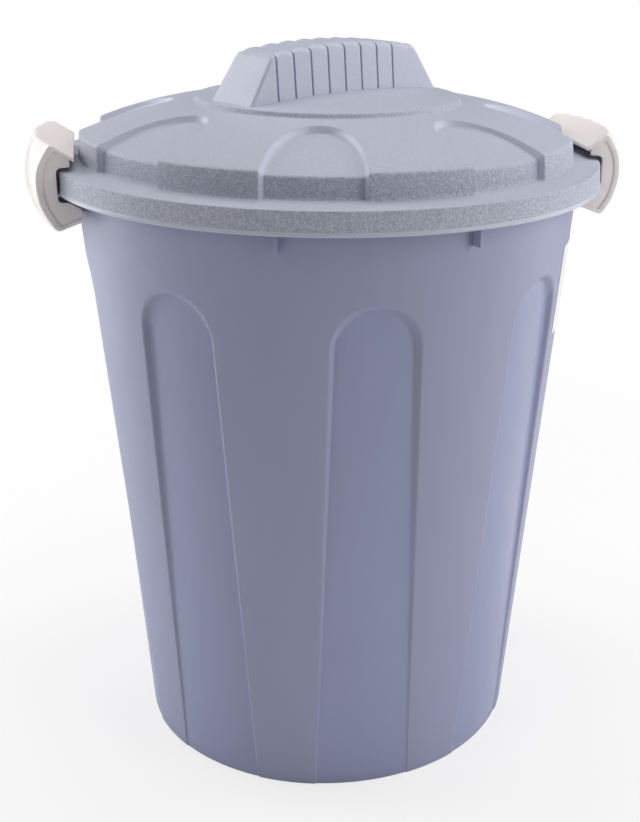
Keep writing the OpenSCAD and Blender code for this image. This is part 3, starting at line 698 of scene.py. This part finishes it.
def lid_rows(s):
    """Rows of the lid's section from the middle of the boss outwards over the skirt and
    back underneath: radius and level beside an arch, the same inside an arch, how much
    wider an arch is there, and whether the row is on top of the raised part. The lists
    of radii round the corners."""
    fine, coarse = (4, 18, 8, 14, 7, 7), (3, 5, 4, 7, 4, 3)
    edge_r = s.boss_top_r - 0.003
    top_r = np.array([0.02, 0.045, 0.07, 0.09, 0.1, edge_r - 0.0002])
    edge = rounded([(edge_r, boss_level(s, edge_r, 0)), (s.boss_top_r, s.boss_edge_z),
                    (s.boss_low_r, s.boss_low_z), (s.boss_low_r + 0.0028, s.boss_low_z - 0.0004)],
                   [0, s.edge_soft, 0.0013, 0], 5, False)[1:-1]
    boss = np.vstack([np.c_[top_r, boss_level(s, top_r, 0)], edge])
    inside_r, ring_r = s.skirt_r - s.wall, s.guide_r - s.wall
    skirt = rounded([(s.raise_low_r + 0.0008, s.ledge_in_z), (s.skirt_top_r, s.ledge_out_z),
                     (s.skirt_low_r, s.skirt_z + s.lip_h + 0.0009), (s.skirt_r, s.skirt_z + s.lip_h),
                     (s.skirt_r, s.skirt_z), (inside_r, s.skirt_z), (inside_r, s.seat_z),
                     (s.guide_r, s.seat_z), (s.guide_r, s.guide_z), (ring_r, s.guide_z), (ring_r, s.seat_z)],
                    [0, s.edge_soft, 0.0004, 0.0006, 0.0006, 0.0005, 0.001, 0.0008, 0.0006, 0.0006, 0],
                    5, False)
    under_r = np.array([s.boss_low_r - s.wall, s.boss_top_r - s.wall - 0.002, 0.09, 0.06, 0.03])
    under = np.c_[under_r, np.append(s.boss_low_z - s.wall, boss_level(s, under_r[1:], s.wall))]
    base, sunk = (np.vstack([boss, raised_section(s, deep, s.ledge_in_z + 0.0007, fine), skirt,
                             raised_section(s, s.wall + deep, s.seat_z, coarse)[::-1], under])
                  for deep in (0, s.arch_deep))
    place = np.arange(len(base))
    on_top = len(boss) + sum(fine) + 1
    return base, sunk, np.where(place < on_top + len(skirt), 0, s.wall), place < on_top


def ramp(t, soft):
    """A straight rise from 0 to 1 whose two ends are parabolas of a given half
    width: the area under a clipped line, less the same one step later."""
    def area(x):
        """Area under a line from 0 to 1 that is centred on zero, up to x."""
        return np.where(x > soft, x, np.clip(x + soft, 0, 2 * soft) ** 2 / (4 * soft))
    return area(t) - area(t - 1)


def arch_weight(s, across, along, widen):
    """1 inside an arch and 0 outside, with a ramp over the slope: the distance to
    the oval is (1 - f) over f's slope, where f is the oval's equation."""
    a, b = s.arch_half + widen, s.arch_len + widen
    u, v = across / a, (s.arch_r - along) / b
    f = np.maximum(np.sqrt(u * u + v * v), 1e-6)
    slope = np.sqrt((u / a) ** 2 + (v / b) ** 2) / f
    return ramp((1 - f) / np.maximum(slope, 1e-6) / s.arch_slope + 0.5, 0.14)


class BIN_OT_lid(bpy.types.Operator):
    """Builds the lid with its arches, boss, ledge and skirt"""
    bl_idname = "bin.lid"
    bl_label = "Lid"

    def execute(self, context):
        s = context.scene.bin_lid
        base, sunk, widen, on_top = lid_rows(s)
        # Columns follow the arch's outline where it is wider than a least width
        map_r = np.clip(base[:, 0], s.boss_low_r, s.raise_low_r)
        oval = np.clip((s.arch_r - map_r) / s.arch_len, 0, 1)
        least_half, band = 0.011, 0.0018
        half = ((s.arch_half * np.sqrt(1 - oval ** 2)) ** 4 + least_half ** 4) ** 0.25 + widen
        across = sector_columns(half, np.full(len(half), band), map_r * math.sin(math.pi / s.arches),
                                (11, 11, 9))
        turn = np.arcsin(np.clip(across / map_r[:, None], -1, 1))
        weight = arch_weight(s, map_r[:, None] * np.sin(turn), map_r[:, None] * np.cos(turn), widen[:, None])
        r, z = (base[:, k:k + 1] + weight * (sunk[:, k:k + 1] - base[:, k:k + 1]) for k in (0, 1))
        phi = np.hstack([turn + k * 2 * math.pi / s.arches for k in range(s.arches)]) + s.turn
        skin = revolved(np.tile(r, s.arches), np.tile(z, s.arches), phi)
        # Upright faces carry the coarse grain; the bead along the skirt and the arches' slopes are smooth
        # and painted paler, a painted highlight
        run, rise = np.abs(np.gradient(base[:, 0])), np.abs(np.gradient(base[:, 1]))
        steep = 0.25 + 0.75 * ease(rise / (run + rise + 1e-9) * 1.6 - 0.3)
        bead = (base[:, 1] < s.skirt_z + s.lip_h + 0.0012) & (base[:, 0] > s.skirt_r - s.wall)
        smooth = np.maximum(bead[:, None], on_top[:, None] * np.minimum(1, 6 * weight * (1 - weight)))
        marks = [(name, np.append(np.tile(field, s.arches).ravel(), [0, 0]))
                 for name, field in (("grain", steep[:, None] * (1 - smooth)), ("polish", smooth))]
        mesh_object("lid_shell", [skin], "lid_body", "lid_plastic", ["lid"], marks)
        return {"FINISHED"}


def end_slope(s):
    """Steepness of the grip's ends: their rise over the difference of the half lengths."""
    return (s.top_z - s.drop - s.base_z) / (s.low_half - s.top_half)


def grip_places(s):
    """Places along the grip, and the middles of its grooves. They lie close together over
    each groove, then evenly along the top and down the sloped ends to the foot."""
    middle = s.shift + (np.arange(s.grooves) - (s.grooves - 1) / 2) * s.pitch
    near = s.groove_w * np.array([-1.3, -0.72, -0.5, -0.36, 0, 0.36, 0.5, 0.72, 1.3])
    past_top = s.top_half + 0.008
    plain = np.linspace(-past_top, past_top, 90)
    plain = plain[np.min(np.abs(plain[:, None] - middle), axis=1) > s.groove_w * 1.5]
    end = s.low_half + (s.base_z - s.foot_z) / end_slope(s)
    slants = np.linspace(past_top + 0.0005, end - 0.0002, 14)
    return np.unique(np.concatenate([(middle[:, None] + near).ravel(), plain, slants, -slants])), middle


def grip_crest(s, along, middle, cut):
    """Level of the grip's top: an arc that swells between the grooves, and meets the
    sloped ends in a smooth minimum, the lower of the two less k m (1 - m) where they are
    close. A groove is cut less deep into the top than into the sides."""
    arc = s.top_half ** 2 / (2 * s.drop) + s.drop / 2
    phase = np.clip((along - middle[0]) / s.pitch, -1.2, s.grooves + 0.2)
    swell = s.swell * np.abs(np.sin(np.pi * phase)) ** 0.7
    crest = s.top_z - s.swell + swell - arc + np.sqrt(arc * arc - along ** 2)
    slant = s.base_z + (s.low_half - np.abs(along)) * end_slope(s)
    k = s.crest_soft
    m = np.clip(0.5 + 0.5 * (slant - crest) / k, 0, 1)
    high = slant + (crest - slant) * m - k * m * (1 - m)
    return np.maximum(high - cut * 0.35, s.foot_z + 1e-5)


class BIN_OT_grip(bpy.types.Operator):
    """Builds the ridged grip on the lid"""
    bl_idname = "bin.grip"
    bl_label = "Grip"

    def execute(self, context):
        s = context.scene.bin_grip
        turn = s.turn + context.scene.bin_lid.turn
        along, middle = grip_places(s)
        # A groove keeps its depth up to 0.35 of its width from its middle, and ends at 0.73
        nearest = np.min(np.abs(along[:, None] - middle), axis=1)
        cut = s.groove_d * ease(1.9 - nearest / s.groove_w * 2.6)
        high = grip_crest(s, along, middle, cut)
        # The rounding of the top edges turns into that of the ends over 12 mm
        soft = s.round_top + (s.round_end - s.round_top) * ease((np.abs(along) - s.top_half + 0.006) / 0.012)
        soft = np.minimum(soft, (high - s.foot_z) * 0.6)
        thin = (s.low_side - s.top_side) / (s.top_z - s.base_z)

        def width(z):
            """Half width of the grip at a level, less the groove's depth."""
            return s.low_side - thin * (z - s.base_z) - cut[:, None]
        # Each ring runs up one side, round the top edge, across, and down the other side
        up = np.linspace(0, 1, 9)[None, :-1]
        z_side = s.foot_z + (high - soft - s.foot_z)[:, None] * up
        angle = np.linspace(0, np.pi / 2, 8)[None]
        z_round = (high - soft)[:, None] + soft[:, None] * np.sin(angle)
        y_round = width(z_round) - soft[:, None] * (1 - np.cos(angle))
        y_half, z_half = np.hstack([width(z_side), y_round]), np.hstack([z_side, z_round])
        flat = np.linspace(1, -1, 12)[None, 1:-1]
        y = np.hstack([y_half, y_round[:, -1:] * flat, -y_half[:, ::-1]])
        z = np.hstack([z_half, np.repeat(high[:, None], flat.size, 1), z_half[:, ::-1]])
        x = np.broadcast_to(along[:, None], y.shape)
        c, n = math.cos(turn), math.sin(turn)
        grid = np.stack([x * c - y * n, x * n + y * c, z], -1)
        # The grip has a finer grain than the lid and is worn smoother by hands. It is also painted about a
        # fifth paler, a painted sheen.
        marks = [(name, np.full(y.size, value)) for name, value in (("grain", 0.2), ("polish", 0.85))]
        mesh_object("lid_grip", [tube(grid)], "lid_body", "lid_plastic", marks=marks, crease=42)
        return {"FINISHED"}


# The locking handles

# How many points a handle's line has round the straight edge, along the flat top and
# round the ridge, and the place of the ridge's middle in the line
TOP_POINTS = (5, 9, 7)
RIDGE = 1 + TOP_POINTS[0] + TOP_POINTS[1] + TOP_POINTS[2] // 2
# Distance that keeps apart points that would otherwise fall on each other
HAIR = 0.0001


def back_radius(s, z, by):
    """Radius of the back at a level: the curve's centre plus the root of its
    radius squared minus the height above the centre squared, moved in by a distance."""
    return s.back_x + np.sqrt(np.maximum((s.back_r - by) ** 2 - (z - s.back_z) ** 2, 0))


def skin_radius(s, y, z, by):
    """Radius of the back at a distance y along the handle: it is drawn in towards the
    ends by the cube of y over the half width, and more of it near the ridge."""
    drawn = s.pull_low + s.pull_top * ease((z - s.mouth_high) / (s.ridge_z - s.mouth_high))
    return back_radius(s, z, by) - drawn * np.abs(y / s.half) ** 3


def top_level(s, x, y, by):
    """Level of the top plate, moved down by a thickness. At every y it is a straight
    line from the plate's straight edge up to the ridge, which is nearly level."""
    ridge_z = s.ridge_z - s.ridge_fall * (y / s.half) ** 2
    ridge_x = np.sqrt(skin_radius(s, y, ridge_z, 0) ** 2 - y * y)
    rate = (ridge_z - s.tip_z) / (ridge_x - s.tip_x)
    return s.tip_z + rate * (x - s.tip_x) - by * np.hypot(1, rate)


def handle_line(s, y, back_in, flat_in, tip_in, lip):
    """One side of the bent sheet in X and Z, a row of points for each distance y:
    straight edge, flat top, ridge, curved back, lower corner and lip. The ridge and
    the lower corner are where the lines cross, found by putting each into the other."""
    low_r = float(back_radius(s, s.low_z, 0))
    rate_low = (s.low_z - s.lip_z + s.lip_t) / (low_r - s.lip_x - s.lip_lean)
    lift = flat_in * math.hypot(1, rate_low)

    def spot(r, z):
        """A radius and a level as X and Z at each y."""
        return np.stack([np.sqrt(r * r - y * y), z + 0 * y], -1)

    def on_top(x):
        """A point of the top plate at a distance X, for each y."""
        return np.stack([x + 0 * y, top_level(s, x, y, flat_in)], -1)
    x = s.tip_x + s.back_r * 0.5 + 0 * y
    r = low_r + 0 * y
    for _ in range(12):
        x = np.sqrt(skin_radius(s, y, top_level(s, x, y, flat_in), back_in) ** 2 - y * y)
        r = skin_radius(s, y, s.low_z + lift + rate_low * (r - low_r), back_in)
    low = s.low_z + lift + rate_low * (r - low_r)
    soft, way = (0.0026, 1) if lip else (0.0016, -1)
    # The outer and the inner line meet in the middle of each edge, a hair apart
    hair, tip_soft = way * HAIR, 0.0011
    edge_x = s.tip_x + tip_in
    middle = np.stack([edge_x + 0 * y, s.tip_z - 0.0016 + hair + 0 * y], -1)
    face = on_top(edge_x) - np.array([0, way * 0.0009])
    flat = on_top(edge_x + tip_soft)
    before = on_top(x - soft)
    start, stop = top_level(s, x, y, flat_in) - soft * 1.1, low + soft
    levels = start[:, None] + (stop - start)[:, None] * np.linspace(0, 1, 40)
    wide = y[:, None]
    back = np.stack([np.sqrt(skin_radius(s, wide, levels, back_in[:, None]) ** 2 - wide ** 2), levels], -1)
    toe_r, toe_z = (s.lip_x + s.lip_lean, s.lip_z - s.lip_t) if lip else (s.lip_x, s.lip_z)
    toe = spot(toe_r + tip_in, toe_z + (flat_in if lip else 0))
    heel = spot(r, low)
    last = spot(s.lip_x + s.lip_lean / 2 + tip_in, s.lip_z - s.lip_t / 2 - hair)
    toward = (heel - toe) / np.linalg.norm(heel - toe, axis=1)[:, None]
    under, end = heel - toward * soft * 1.2, toe + toward * tip_soft
    return np.concatenate([middle[:, None], bend(face, on_top(edge_x), flat, TOP_POINTS[0]),
                           line(flat, before, TOP_POINTS[1]),
                           bend(before, on_top(x), back[:, 0], TOP_POINTS[2]), back[:, :-1],
                           bend(back[:, -1], heel, under, 6), line(under, end, 7),
                           bend(end, toe, (toe + last) / 2, 4), last[:, None]], axis=1)


def cut_short(outer, inner, rows, x_end):
    """Ends the bent sheet at a distance from the axis in the given rows. The points
    beyond are laid along its end face, from where a line crosses it to the middle."""
    half = outer.shape[1] // 2
    for i in np.flatnonzero(rows):
        ends = []
        for sheet in (outer, inner):
            k = half + int(np.argmax(sheet[i, half:, 0] < x_end))
            a, b = sheet[i, k - 1], sheet[i, k]
            ends.append((sheet[i, k:], a + (b - a) * (a[0] - x_end) / (a[0] - b[0])))
        middle = (ends[0][1] + ends[1][1]) / 2
        for (rest, start), gap in zip(ends, (-HAIR, HAIR)):
            rest[:] = start + (middle + (0, gap) - start) * np.linspace(0, 1, len(rest))[:, None]


def bent_skin(outer, inner, y, side):
    """The closed skin of a bent sheet from its two lines: each ring runs along the
    outer line and back along the inner one, and the ends are ladders of quads."""
    rows, cols, _ = outer.shape
    ring = np.concatenate([outer, inner[:, ::-1]], axis=1)
    grid = np.stack([side * ring[..., 0], np.broadcast_to(y[:, None], ring.shape[:2]), ring[..., 1]], -1)
    verts, faces = tube(grid, ends=False)
    j = np.arange(cols - 1)
    first = np.stack([j, j + 1, 2 * cols - 2 - j, 2 * cols - 1 - j], -1)
    faces += first[:, ::-1].tolist() + (first + (rows - 1) * 2 * cols).tolist()
    return verts, faces


def handle_rows(s, plate_low):
    """Places along Y of a handle's rows, and which of them cross a lug's slot: close
    together round the end edges and where the end plates start, and a pair on each
    side of a slot, so that its sides are upright."""
    fine = s.edge * (1 - np.cos(np.linspace(0, np.pi / 2, 5)))
    ends = np.concatenate([[plate_low + 0.0005, plate_low + 0.0011], s.half - fine[::-1]])
    slot = s.lug_t / 2 + s.lug_gap
    cuts = s.lug_y + np.array([side * slot + way * HAIR / 2 for side in (-1, 1) for way in (-1, 1)])
    middle = np.linspace(-plate_low + 0.0002, plate_low - 0.0002, 99)
    middle = middle[np.abs(np.abs(np.abs(middle) - s.lug_y) - slot) > 0.0003]
    y = np.sort(np.concatenate([-ends, -cuts, middle, cuts, ends]))
    return y, np.abs(np.abs(y) - s.lug_y) < slot


def with_fingers(s, outer, y):
    """The outer line with finger ribs: along Y a raised cosine to a power, which swells
    the skin away from the back's centre at the ridge and fades out on both sides."""
    span = (s.ribs - 0.5) * s.rib_pitch / 2
    wave = (0.5 + 0.5 * np.cos(2 * np.pi * (y / s.rib_pitch - 0.5 * (s.ribs % 2 == 0)))) ** 1.6
    wave = np.where(np.abs(y) < span, wave, 0)[:, None]
    away = np.linalg.norm(outer - outer[:, RIDGE:RIDGE + 1], axis=2)
    reach = np.where(np.arange(outer.shape[1]) < RIDGE, 0.004, 0.016)
    swell = s.rib_out * wave * ease(1 - away / reach)
    r = np.hypot(outer[..., 0], y[:, None])
    out_r, out_z = r - s.back_x, outer[..., 1] - s.back_z
    size = np.hypot(out_r, out_z)
    return np.stack([np.sqrt((r + swell * out_r / size) ** 2 - y[:, None] ** 2),
                     outer[..., 1] + swell * out_z / size], -1)


def end_plate(s, mid):
    """Outline of an end plate in X and Z at its middle: it fills the section of the bent
    sheet, into which its edges reach, but for the rounded mouth that takes the lid's edge."""
    def at_mid(r, z):
        """Radii and levels as X and Z in the middle of the plate."""
        return np.c_[np.sqrt(r ** 2 - mid ** 2), z]
    corner_x = s.tip_x + 0.0034
    top_x = np.array([corner_x, s.tip_x + 0.0155])
    levels = np.linspace(s.ridge_z - 0.008, s.low_z + 0.0018, 30)
    mouth = rounded([(s.web_x, s.lip_z), (s.web_x, s.web_z), (s.web_x + 0.0092, s.mouth_low),
                     (s.mouth_x, s.mouth_low), (s.mouth_x, s.web_over), (corner_x, s.web_over + 0.0006),
                     (corner_x, s.tip_z - s.tip_t)], [0, 0.003, 0.002, 0.0042, 0.0044, 0.001, 0], 5, False)
    return np.vstack([np.c_[top_x, top_level(s, top_x, mid, 0.0012)],
                      at_mid(skin_radius(s, mid, levels, 0.0022), levels),
                      at_mid(s.lip_x + s.lip_lean + 0.0006, s.lip_z - s.lip_t + 0.0009), mouth])


def flat_place(side, way):
    """Maps a section drawn in X and Z to a plane of constant Y."""
    def place(points, level):
        """The section's points in the plane at that distance."""
        return np.c_[side * points[:, 0], np.full(len(points), way * level), points[:, 1]]
    return place


def round_bar(s, side, way, low, high, radius, bore):
    """A bar along Y round the hinge line with chamfered ends, or a blind socket if
    it has a bore: rings of one radius, then the next, along the bar."""
    soft = 0.0006
    if bore:
        rings = [(bore, high - 0.001), (bore, low + soft), (bore + soft, low), (radius - soft, low),
                 (radius, low + soft), (radius, high)]
    else:
        rings = [(radius - soft, low), (radius, low + soft), (radius, high - soft), (radius - soft, high)]
    angle = np.linspace(0, 2 * np.pi, 41)[:-1]
    grid = np.stack([np.c_[side * (s.hinge_x + r * np.cos(angle)), np.full(len(angle), way * y),
                           s.hinge_z + r * np.sin(angle)] for r, y in rings])
    return tube(grid)


class BIN_OT_handles(bpy.types.Operator):
    """Builds the two locking handles"""
    bl_idname = "bin.handles"
    bl_label = "Locking handles"

    def execute(self, context):
        s = context.scene.bin_handle
        plate_high = s.half - s.sink
        plate_low = plate_high - s.wall
        y, in_slot = handle_rows(s, plate_low)
        # The end edges are rounded, and the border outside an end plate is thicker
        over = np.clip((np.abs(y) - s.half + s.edge) / s.edge, 0, 1)
        edge = s.edge * (1 - np.sqrt(1 - over ** 2))
        border = np.where(np.abs(y) > plate_low + 0.0008, s.border, s.wall)
        outer = handle_line(s, y, edge, edge, edge, True)
        inner = handle_line(s, y, border - edge * 0.5, s.wall - edge * 0.5, edge, False)
        cut_short(outer, inner, in_slot, float(back_radius(s, s.low_z, s.wall)))
        outer = with_fingers(s, outer, y)
        web = end_plate(s, plate_high - s.wall * 0.4)
        socket = (s.lug_y + s.lug_t / 2 + 0.0003, plate_high - 0.001, s.socket_r, s.pin_r + 0.0001)
        for name, side in (("left", -1), ("right", 1)):
            parts = [bent_skin(outer, inner, y, side)]
            for way in (-1, 1):
                parts.append(plate(web, plate_low, plate_high, 0.0004, flat_place(side, way)))
                parts.append(round_bar(s, side, way, *socket))
            mesh_object(f"handle_{name}_moulding", parts, f"handle_{name}_body", "handle_plastic",
                        [f"handle_{name}"], crease=30)
        return {"FINISHED"}


class BIN_OT_lugs(bpy.types.Operator):
    """Builds the hinge lugs and their stub pins on the tub"""
    bl_idname = "bin.lugs"
    bl_label = "Hinge lugs"

    def execute(self, context):
        s, tub = context.scene.bin_handle, context.scene.bin_tub
        lug_wall = 0.0028
        lug_r = s.pin_r + lug_wall
        angle = np.radians(np.linspace(210, 360, 14))
        nose = np.c_[s.hinge_x + lug_r * np.cos(angle), s.hinge_z + lug_r * np.sin(angle)]
        top, lip_x = tub.height - tub.rim_t / 2, tub.rim_r - 2.4 * tub.rim_t
        inner = math.sqrt((tub_wall_r(tub, s.hinge_z) - tub.wall * 0.5) ** 2 - s.lug_y ** 2)
        outline = np.vstack([[(inner, s.hinge_z + lug_r * 0.4)], nose,
                             [(lip_x, tub.height - tub.rim_drop), (lip_x, top), (inner, top)]])
        low, high = s.lug_y - s.lug_t / 2, s.lug_y + s.lug_t / 2
        pin_end = s.half - s.sink - s.wall - 0.0004
        parts = []
        for side in (-1, 1):
            for way in (-1, 1):
                parts.append(plate(outline, low, high, 0.0005, flat_place(side, way)))
                parts.append(round_bar(s, side, way, s.lug_y, pin_end, s.pin_r, 0))
        mesh_object("tub_lugs", parts, "tub_body", "tub_plastic", crease=40)
        return {"FINISHED"}


class BIN_OT_label(bpy.types.Operator):
    """Builds the blank sticker on the tub"""
    bl_idname = "bin.label"
    bl_label = "Label"

    def execute(self, context):
        s, tub = context.scene.bin_label, context.scene.bin_tub
        # Rows lie close together round the corners, where their ends are drawn in
        up = np.concatenate([s.corner * (1 - np.cos(np.linspace(0, np.pi / 2, 6))),
                             np.linspace(s.corner, s.height - s.corner, 12)[1:-1],
                             s.height - s.corner * (1 - np.cos(np.linspace(np.pi / 2, 0, 6)))])
        z = s.low_z + up
        cone = tub_wall_r(tub, z)
        from_end = np.minimum(up, s.height - up)
        short = s.corner - np.sqrt(np.maximum(s.corner ** 2 - np.maximum(s.corner - from_end, 0) ** 2, 0))
        half = s.half_angle - short / cone
        turn = s.angle + half[:, None] * np.linspace(-1, 1, 25)[None]

        def face(gap):
            """The sticker's face at a distance from the wall: a patch of the tub's cone."""
            r, level = (cone + gap)[:, None], np.broadcast_to(z[:, None], turn.shape)
            return np.stack([r * np.sin(turn), -r * np.cos(turn), level], -1)
        low, high = face(s.glue), face(s.glue + s.thick)
        # Each ring goes along the outside of a row and back along its inside
        grid = np.concatenate([high, low[:, ::-1]], axis=1)
        mesh_object("label_sticker", [tube(grid)], "tub_body", "label_paper", ["label"], crease=40)
        return {"FINISHED"}


# Floor, light and camera

# The camera's place, its angles in radians, and its lens in millimetres and sideways shift
CAMERA_PLACE = (-0.18935, -1.04757, 0.69265)
CAMERA_PITCH = 0.3715
CAMERA_TURN = math.radians(13.1)
CAMERA_ROLL = 0.0188
CAMERA_LENS = 55.77
CAMERA_SHIFT = -0.0819
# Each lamp's name, its place (right, away and up as the camera sees it) and size in
# metres, and its power in watts
LAMPS = (
    ("left_softbox", (-1.5, 0.5, 0.8), (1.2, 1.8), 23),
    ("left_front", (-1.3, -1.2, 0.9), (0.8, 1.4), 5),
    ("right_front", (1.7, -0.9, 1.0), (0.8, 1.6), 13),
    ("right_softbox", (1.5, 0.4, 0.8), (1.2, 1.8), 14),
    ("top_softbox", (0.1, 0.2, 2.0), (1.6, 1.4), 18),
)
LAMP_TARGET = (0, 0, 0.3)
# Strength of the surroundings' light on the bin, where 1 is what the camera sees
ROOM_LIGHT = 0.06
FLOOR_RADIUS, FLOOR_RINGS, FLOOR_SIDES = 6.0, 24, 96
FLOOR_LEVEL = -0.0002
# The paper shows as this share of white up to the first distance, and white past the second
NEAR_WHITE, WHITE_FROM, WHITE_TO = 0.72, 0.2, 1.1


def soft_light(name, place, size, power):
    """A rectangular lamp that looks at the bin. Its place is given as the camera sees it."""
    lamp = bpy.data.lights.new(name, "AREA")
    lamp.shape, (lamp.size, lamp.size_y), lamp.energy = "RECTANGLE", size, power
    right, away, up = place
    c, n = math.cos(CAMERA_TURN), math.sin(CAMERA_TURN)
    obj = bpy.data.objects.new(name, lamp)
    obj.location = (right * c + away * n, -right * n + away * c, up)
    obj.rotation_euler = (Vector(LAMP_TARGET) - obj.location).to_track_quat("-Z", "Y").to_euler()
    bpy.context.scene.collection.objects.link(obj)


def paper_floor(finish):
    """A disc of seamless studio paper: rings whose radius grows with the square of
    their number. The camera sees it whiter further out, so that the shadow near the bin
    is kept and no horizon shows."""
    angle = np.linspace(0, 2 * np.pi, FLOOR_SIDES + 1)[:-1]
    r = FLOOR_RADIUS * (np.arange(1, FLOOR_RINGS + 1) / FLOOR_RINGS) ** 2
    grid = np.stack([r[:, None] * np.sin(angle), r[:, None] * -np.cos(angle),
                     np.full((FLOOR_RINGS, FLOOR_SIDES), FLOOR_LEVEL)], -1)
    faces = quads(FLOOR_RINGS, FLOOR_SIDES, wrap_cols=True).tolist() + [list(range(FLOOR_SIDES))]
    mesh = bpy.data.meshes.new("paper_floor")
    mesh.from_pydata(grid.reshape(-1, 3).tolist(), [], faces)
    floor = bpy.data.objects.new("paper_floor", mesh)
    bpy.context.scene.collection.objects.link(floor)
    paper, tree, shader, where = new_material("Studio paper")
    fill(tree, shader, {"Base Color": tuple(finish.backdrop) + (1.0,), "Roughness": 0.9})
    seen = add_node(tree, "ShaderNodeLightPath", {}, "Is Camera Ray")
    away = add_node(tree, "ShaderNodeVectorMath", {"operation": "LENGTH", 0: where}, "Value")
    white = add_node(tree, "ShaderNodeMapRange", {"Value": away, "From Min": WHITE_FROM, "From Max": WHITE_TO,
                                                  "To Min": NEAR_WHITE, "To Max": 1.0})
    share = add_node(tree, "ShaderNodeMath", {"operation": "MULTIPLY", 0: seen, 1: white})
    glow = add_node(tree, "ShaderNodeEmission", {"Strength": 1.0})
    mix = add_node(tree, "ShaderNodeMixShader", {0: share, 1: shader.outputs["BSDF"], 2: glow})
    output = next(n for n in tree.nodes if n.type == "OUTPUT_MATERIAL")
    tree.links.new(mix, output.inputs["Surface"])
    mesh.materials.append(paper)


def white_room():
    """Surroundings that the camera sees as white and that light the bin only faintly."""
    world = bpy.data.worlds.new("White room")
    world.use_nodes = True
    bpy.context.scene.world = world
    tree = world.node_tree
    tree.nodes.clear()
    seen = add_node(tree, "ShaderNodeLightPath", {}, "Is Camera Ray")
    strength = add_node(tree, "ShaderNodeMapRange", {"Value": seen, "To Min": ROOM_LIGHT, "To Max": 1.0})
    sky = add_node(tree, "ShaderNodeBackground", {"Color": (1, 1, 1, 1), "Strength": strength})
    add_node(tree, "ShaderNodeOutputWorld", {"Surface": sky})


def photo_camera():
    """The camera at the photograph's place and angle, with its turn, pitch and roll."""
    scene = bpy.context.scene
    lens = bpy.data.cameras.new("photo_camera")
    lens.lens, lens.sensor_width, lens.shift_x = CAMERA_LENS, 36, CAMERA_SHIFT
    lens.dof.use_dof = False
    camera = bpy.data.objects.new("photo_camera", lens)
    scene.collection.objects.link(camera)
    c, n = math.cos(CAMERA_TURN), math.sin(CAMERA_TURN)
    ahead = Vector((n * math.cos(CAMERA_PITCH), c * math.cos(CAMERA_PITCH), -math.sin(CAMERA_PITCH)))
    level = Vector((c, -n, 0))
    rise = level.cross(ahead)
    right = level * math.cos(CAMERA_ROLL) + rise * math.sin(CAMERA_ROLL)
    above = rise * math.cos(CAMERA_ROLL) - level * math.sin(CAMERA_ROLL)
    turned = Matrix((right, above, -ahead)).transposed().to_4x4()
    camera.matrix_world = Matrix.Translation(CAMERA_PLACE) @ turned
    scene.camera = camera


class BIN_OT_stage(bpy.types.Operator):
    """Builds the paper floor, the soft lights, the surroundings and the camera"""
    bl_idname = "bin.stage"
    bl_label = "Floor, lights and camera"

    def execute(self, context):
        paper_floor(context.scene.bin_finish)
        for lamp in LAMPS:
            soft_light(*lamp)
        white_room()
        photo_camera()
        context.scene.view_settings.view_transform = "Standard"
        return {"FINISHED"}


STEPS = (BIN_OT_stage, BIN_OT_tub, BIN_OT_ribs, BIN_OT_lugs, BIN_OT_lid, BIN_OT_grip,
         BIN_OT_handles, BIN_OT_label)


class VIEW3D_PT_bin(bpy.types.Panel):
    """Lists the operators that build the bin"""
    bl_idname = "VIEW3D_PT_bin"
    bl_label = "Waste Bin"
    bl_space_type = "VIEW_3D"
    bl_region_type = "UI"
    bl_category = "Waste Bin"

    def draw(self, context):
        for step in STEPS:
            self.layout.operator(step.bl_idname)
        for key, group in GROUPS.items():
            box = self.layout.box()
            for name in group.__annotations__:
                box.prop(getattr(context.scene, key), name)


CLASSES = tuple(GROUPS.values()) + STEPS + (VIEW3D_PT_bin,)


def register():
    """Registers the classes and gives the scene its groups of sizes."""
    for cls in CLASSES:
        bpy.utils.register_class(cls)
    for key, group in GROUPS.items():
        setattr(bpy.types.Scene, key, PointerProperty(type=group))


def unregister():
    """Takes the groups and the classes away again."""
    for key in GROUPS:
        delattr(bpy.types.Scene, key)
    for cls in reversed(CLASSES):
        bpy.utils.unregister_class(cls)


def main():
    """Registers the add-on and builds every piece."""
    register()
    for step in STEPS:
        group, name = step.bl_idname.split(".")
        if getattr(getattr(bpy.ops, group), name)() != {"FINISHED"}:
            raise RuntimeError(f"{step.bl_idname} did not finish")
    bpy.context.view_layer.update()


if __name__ == "__main__":
    main()
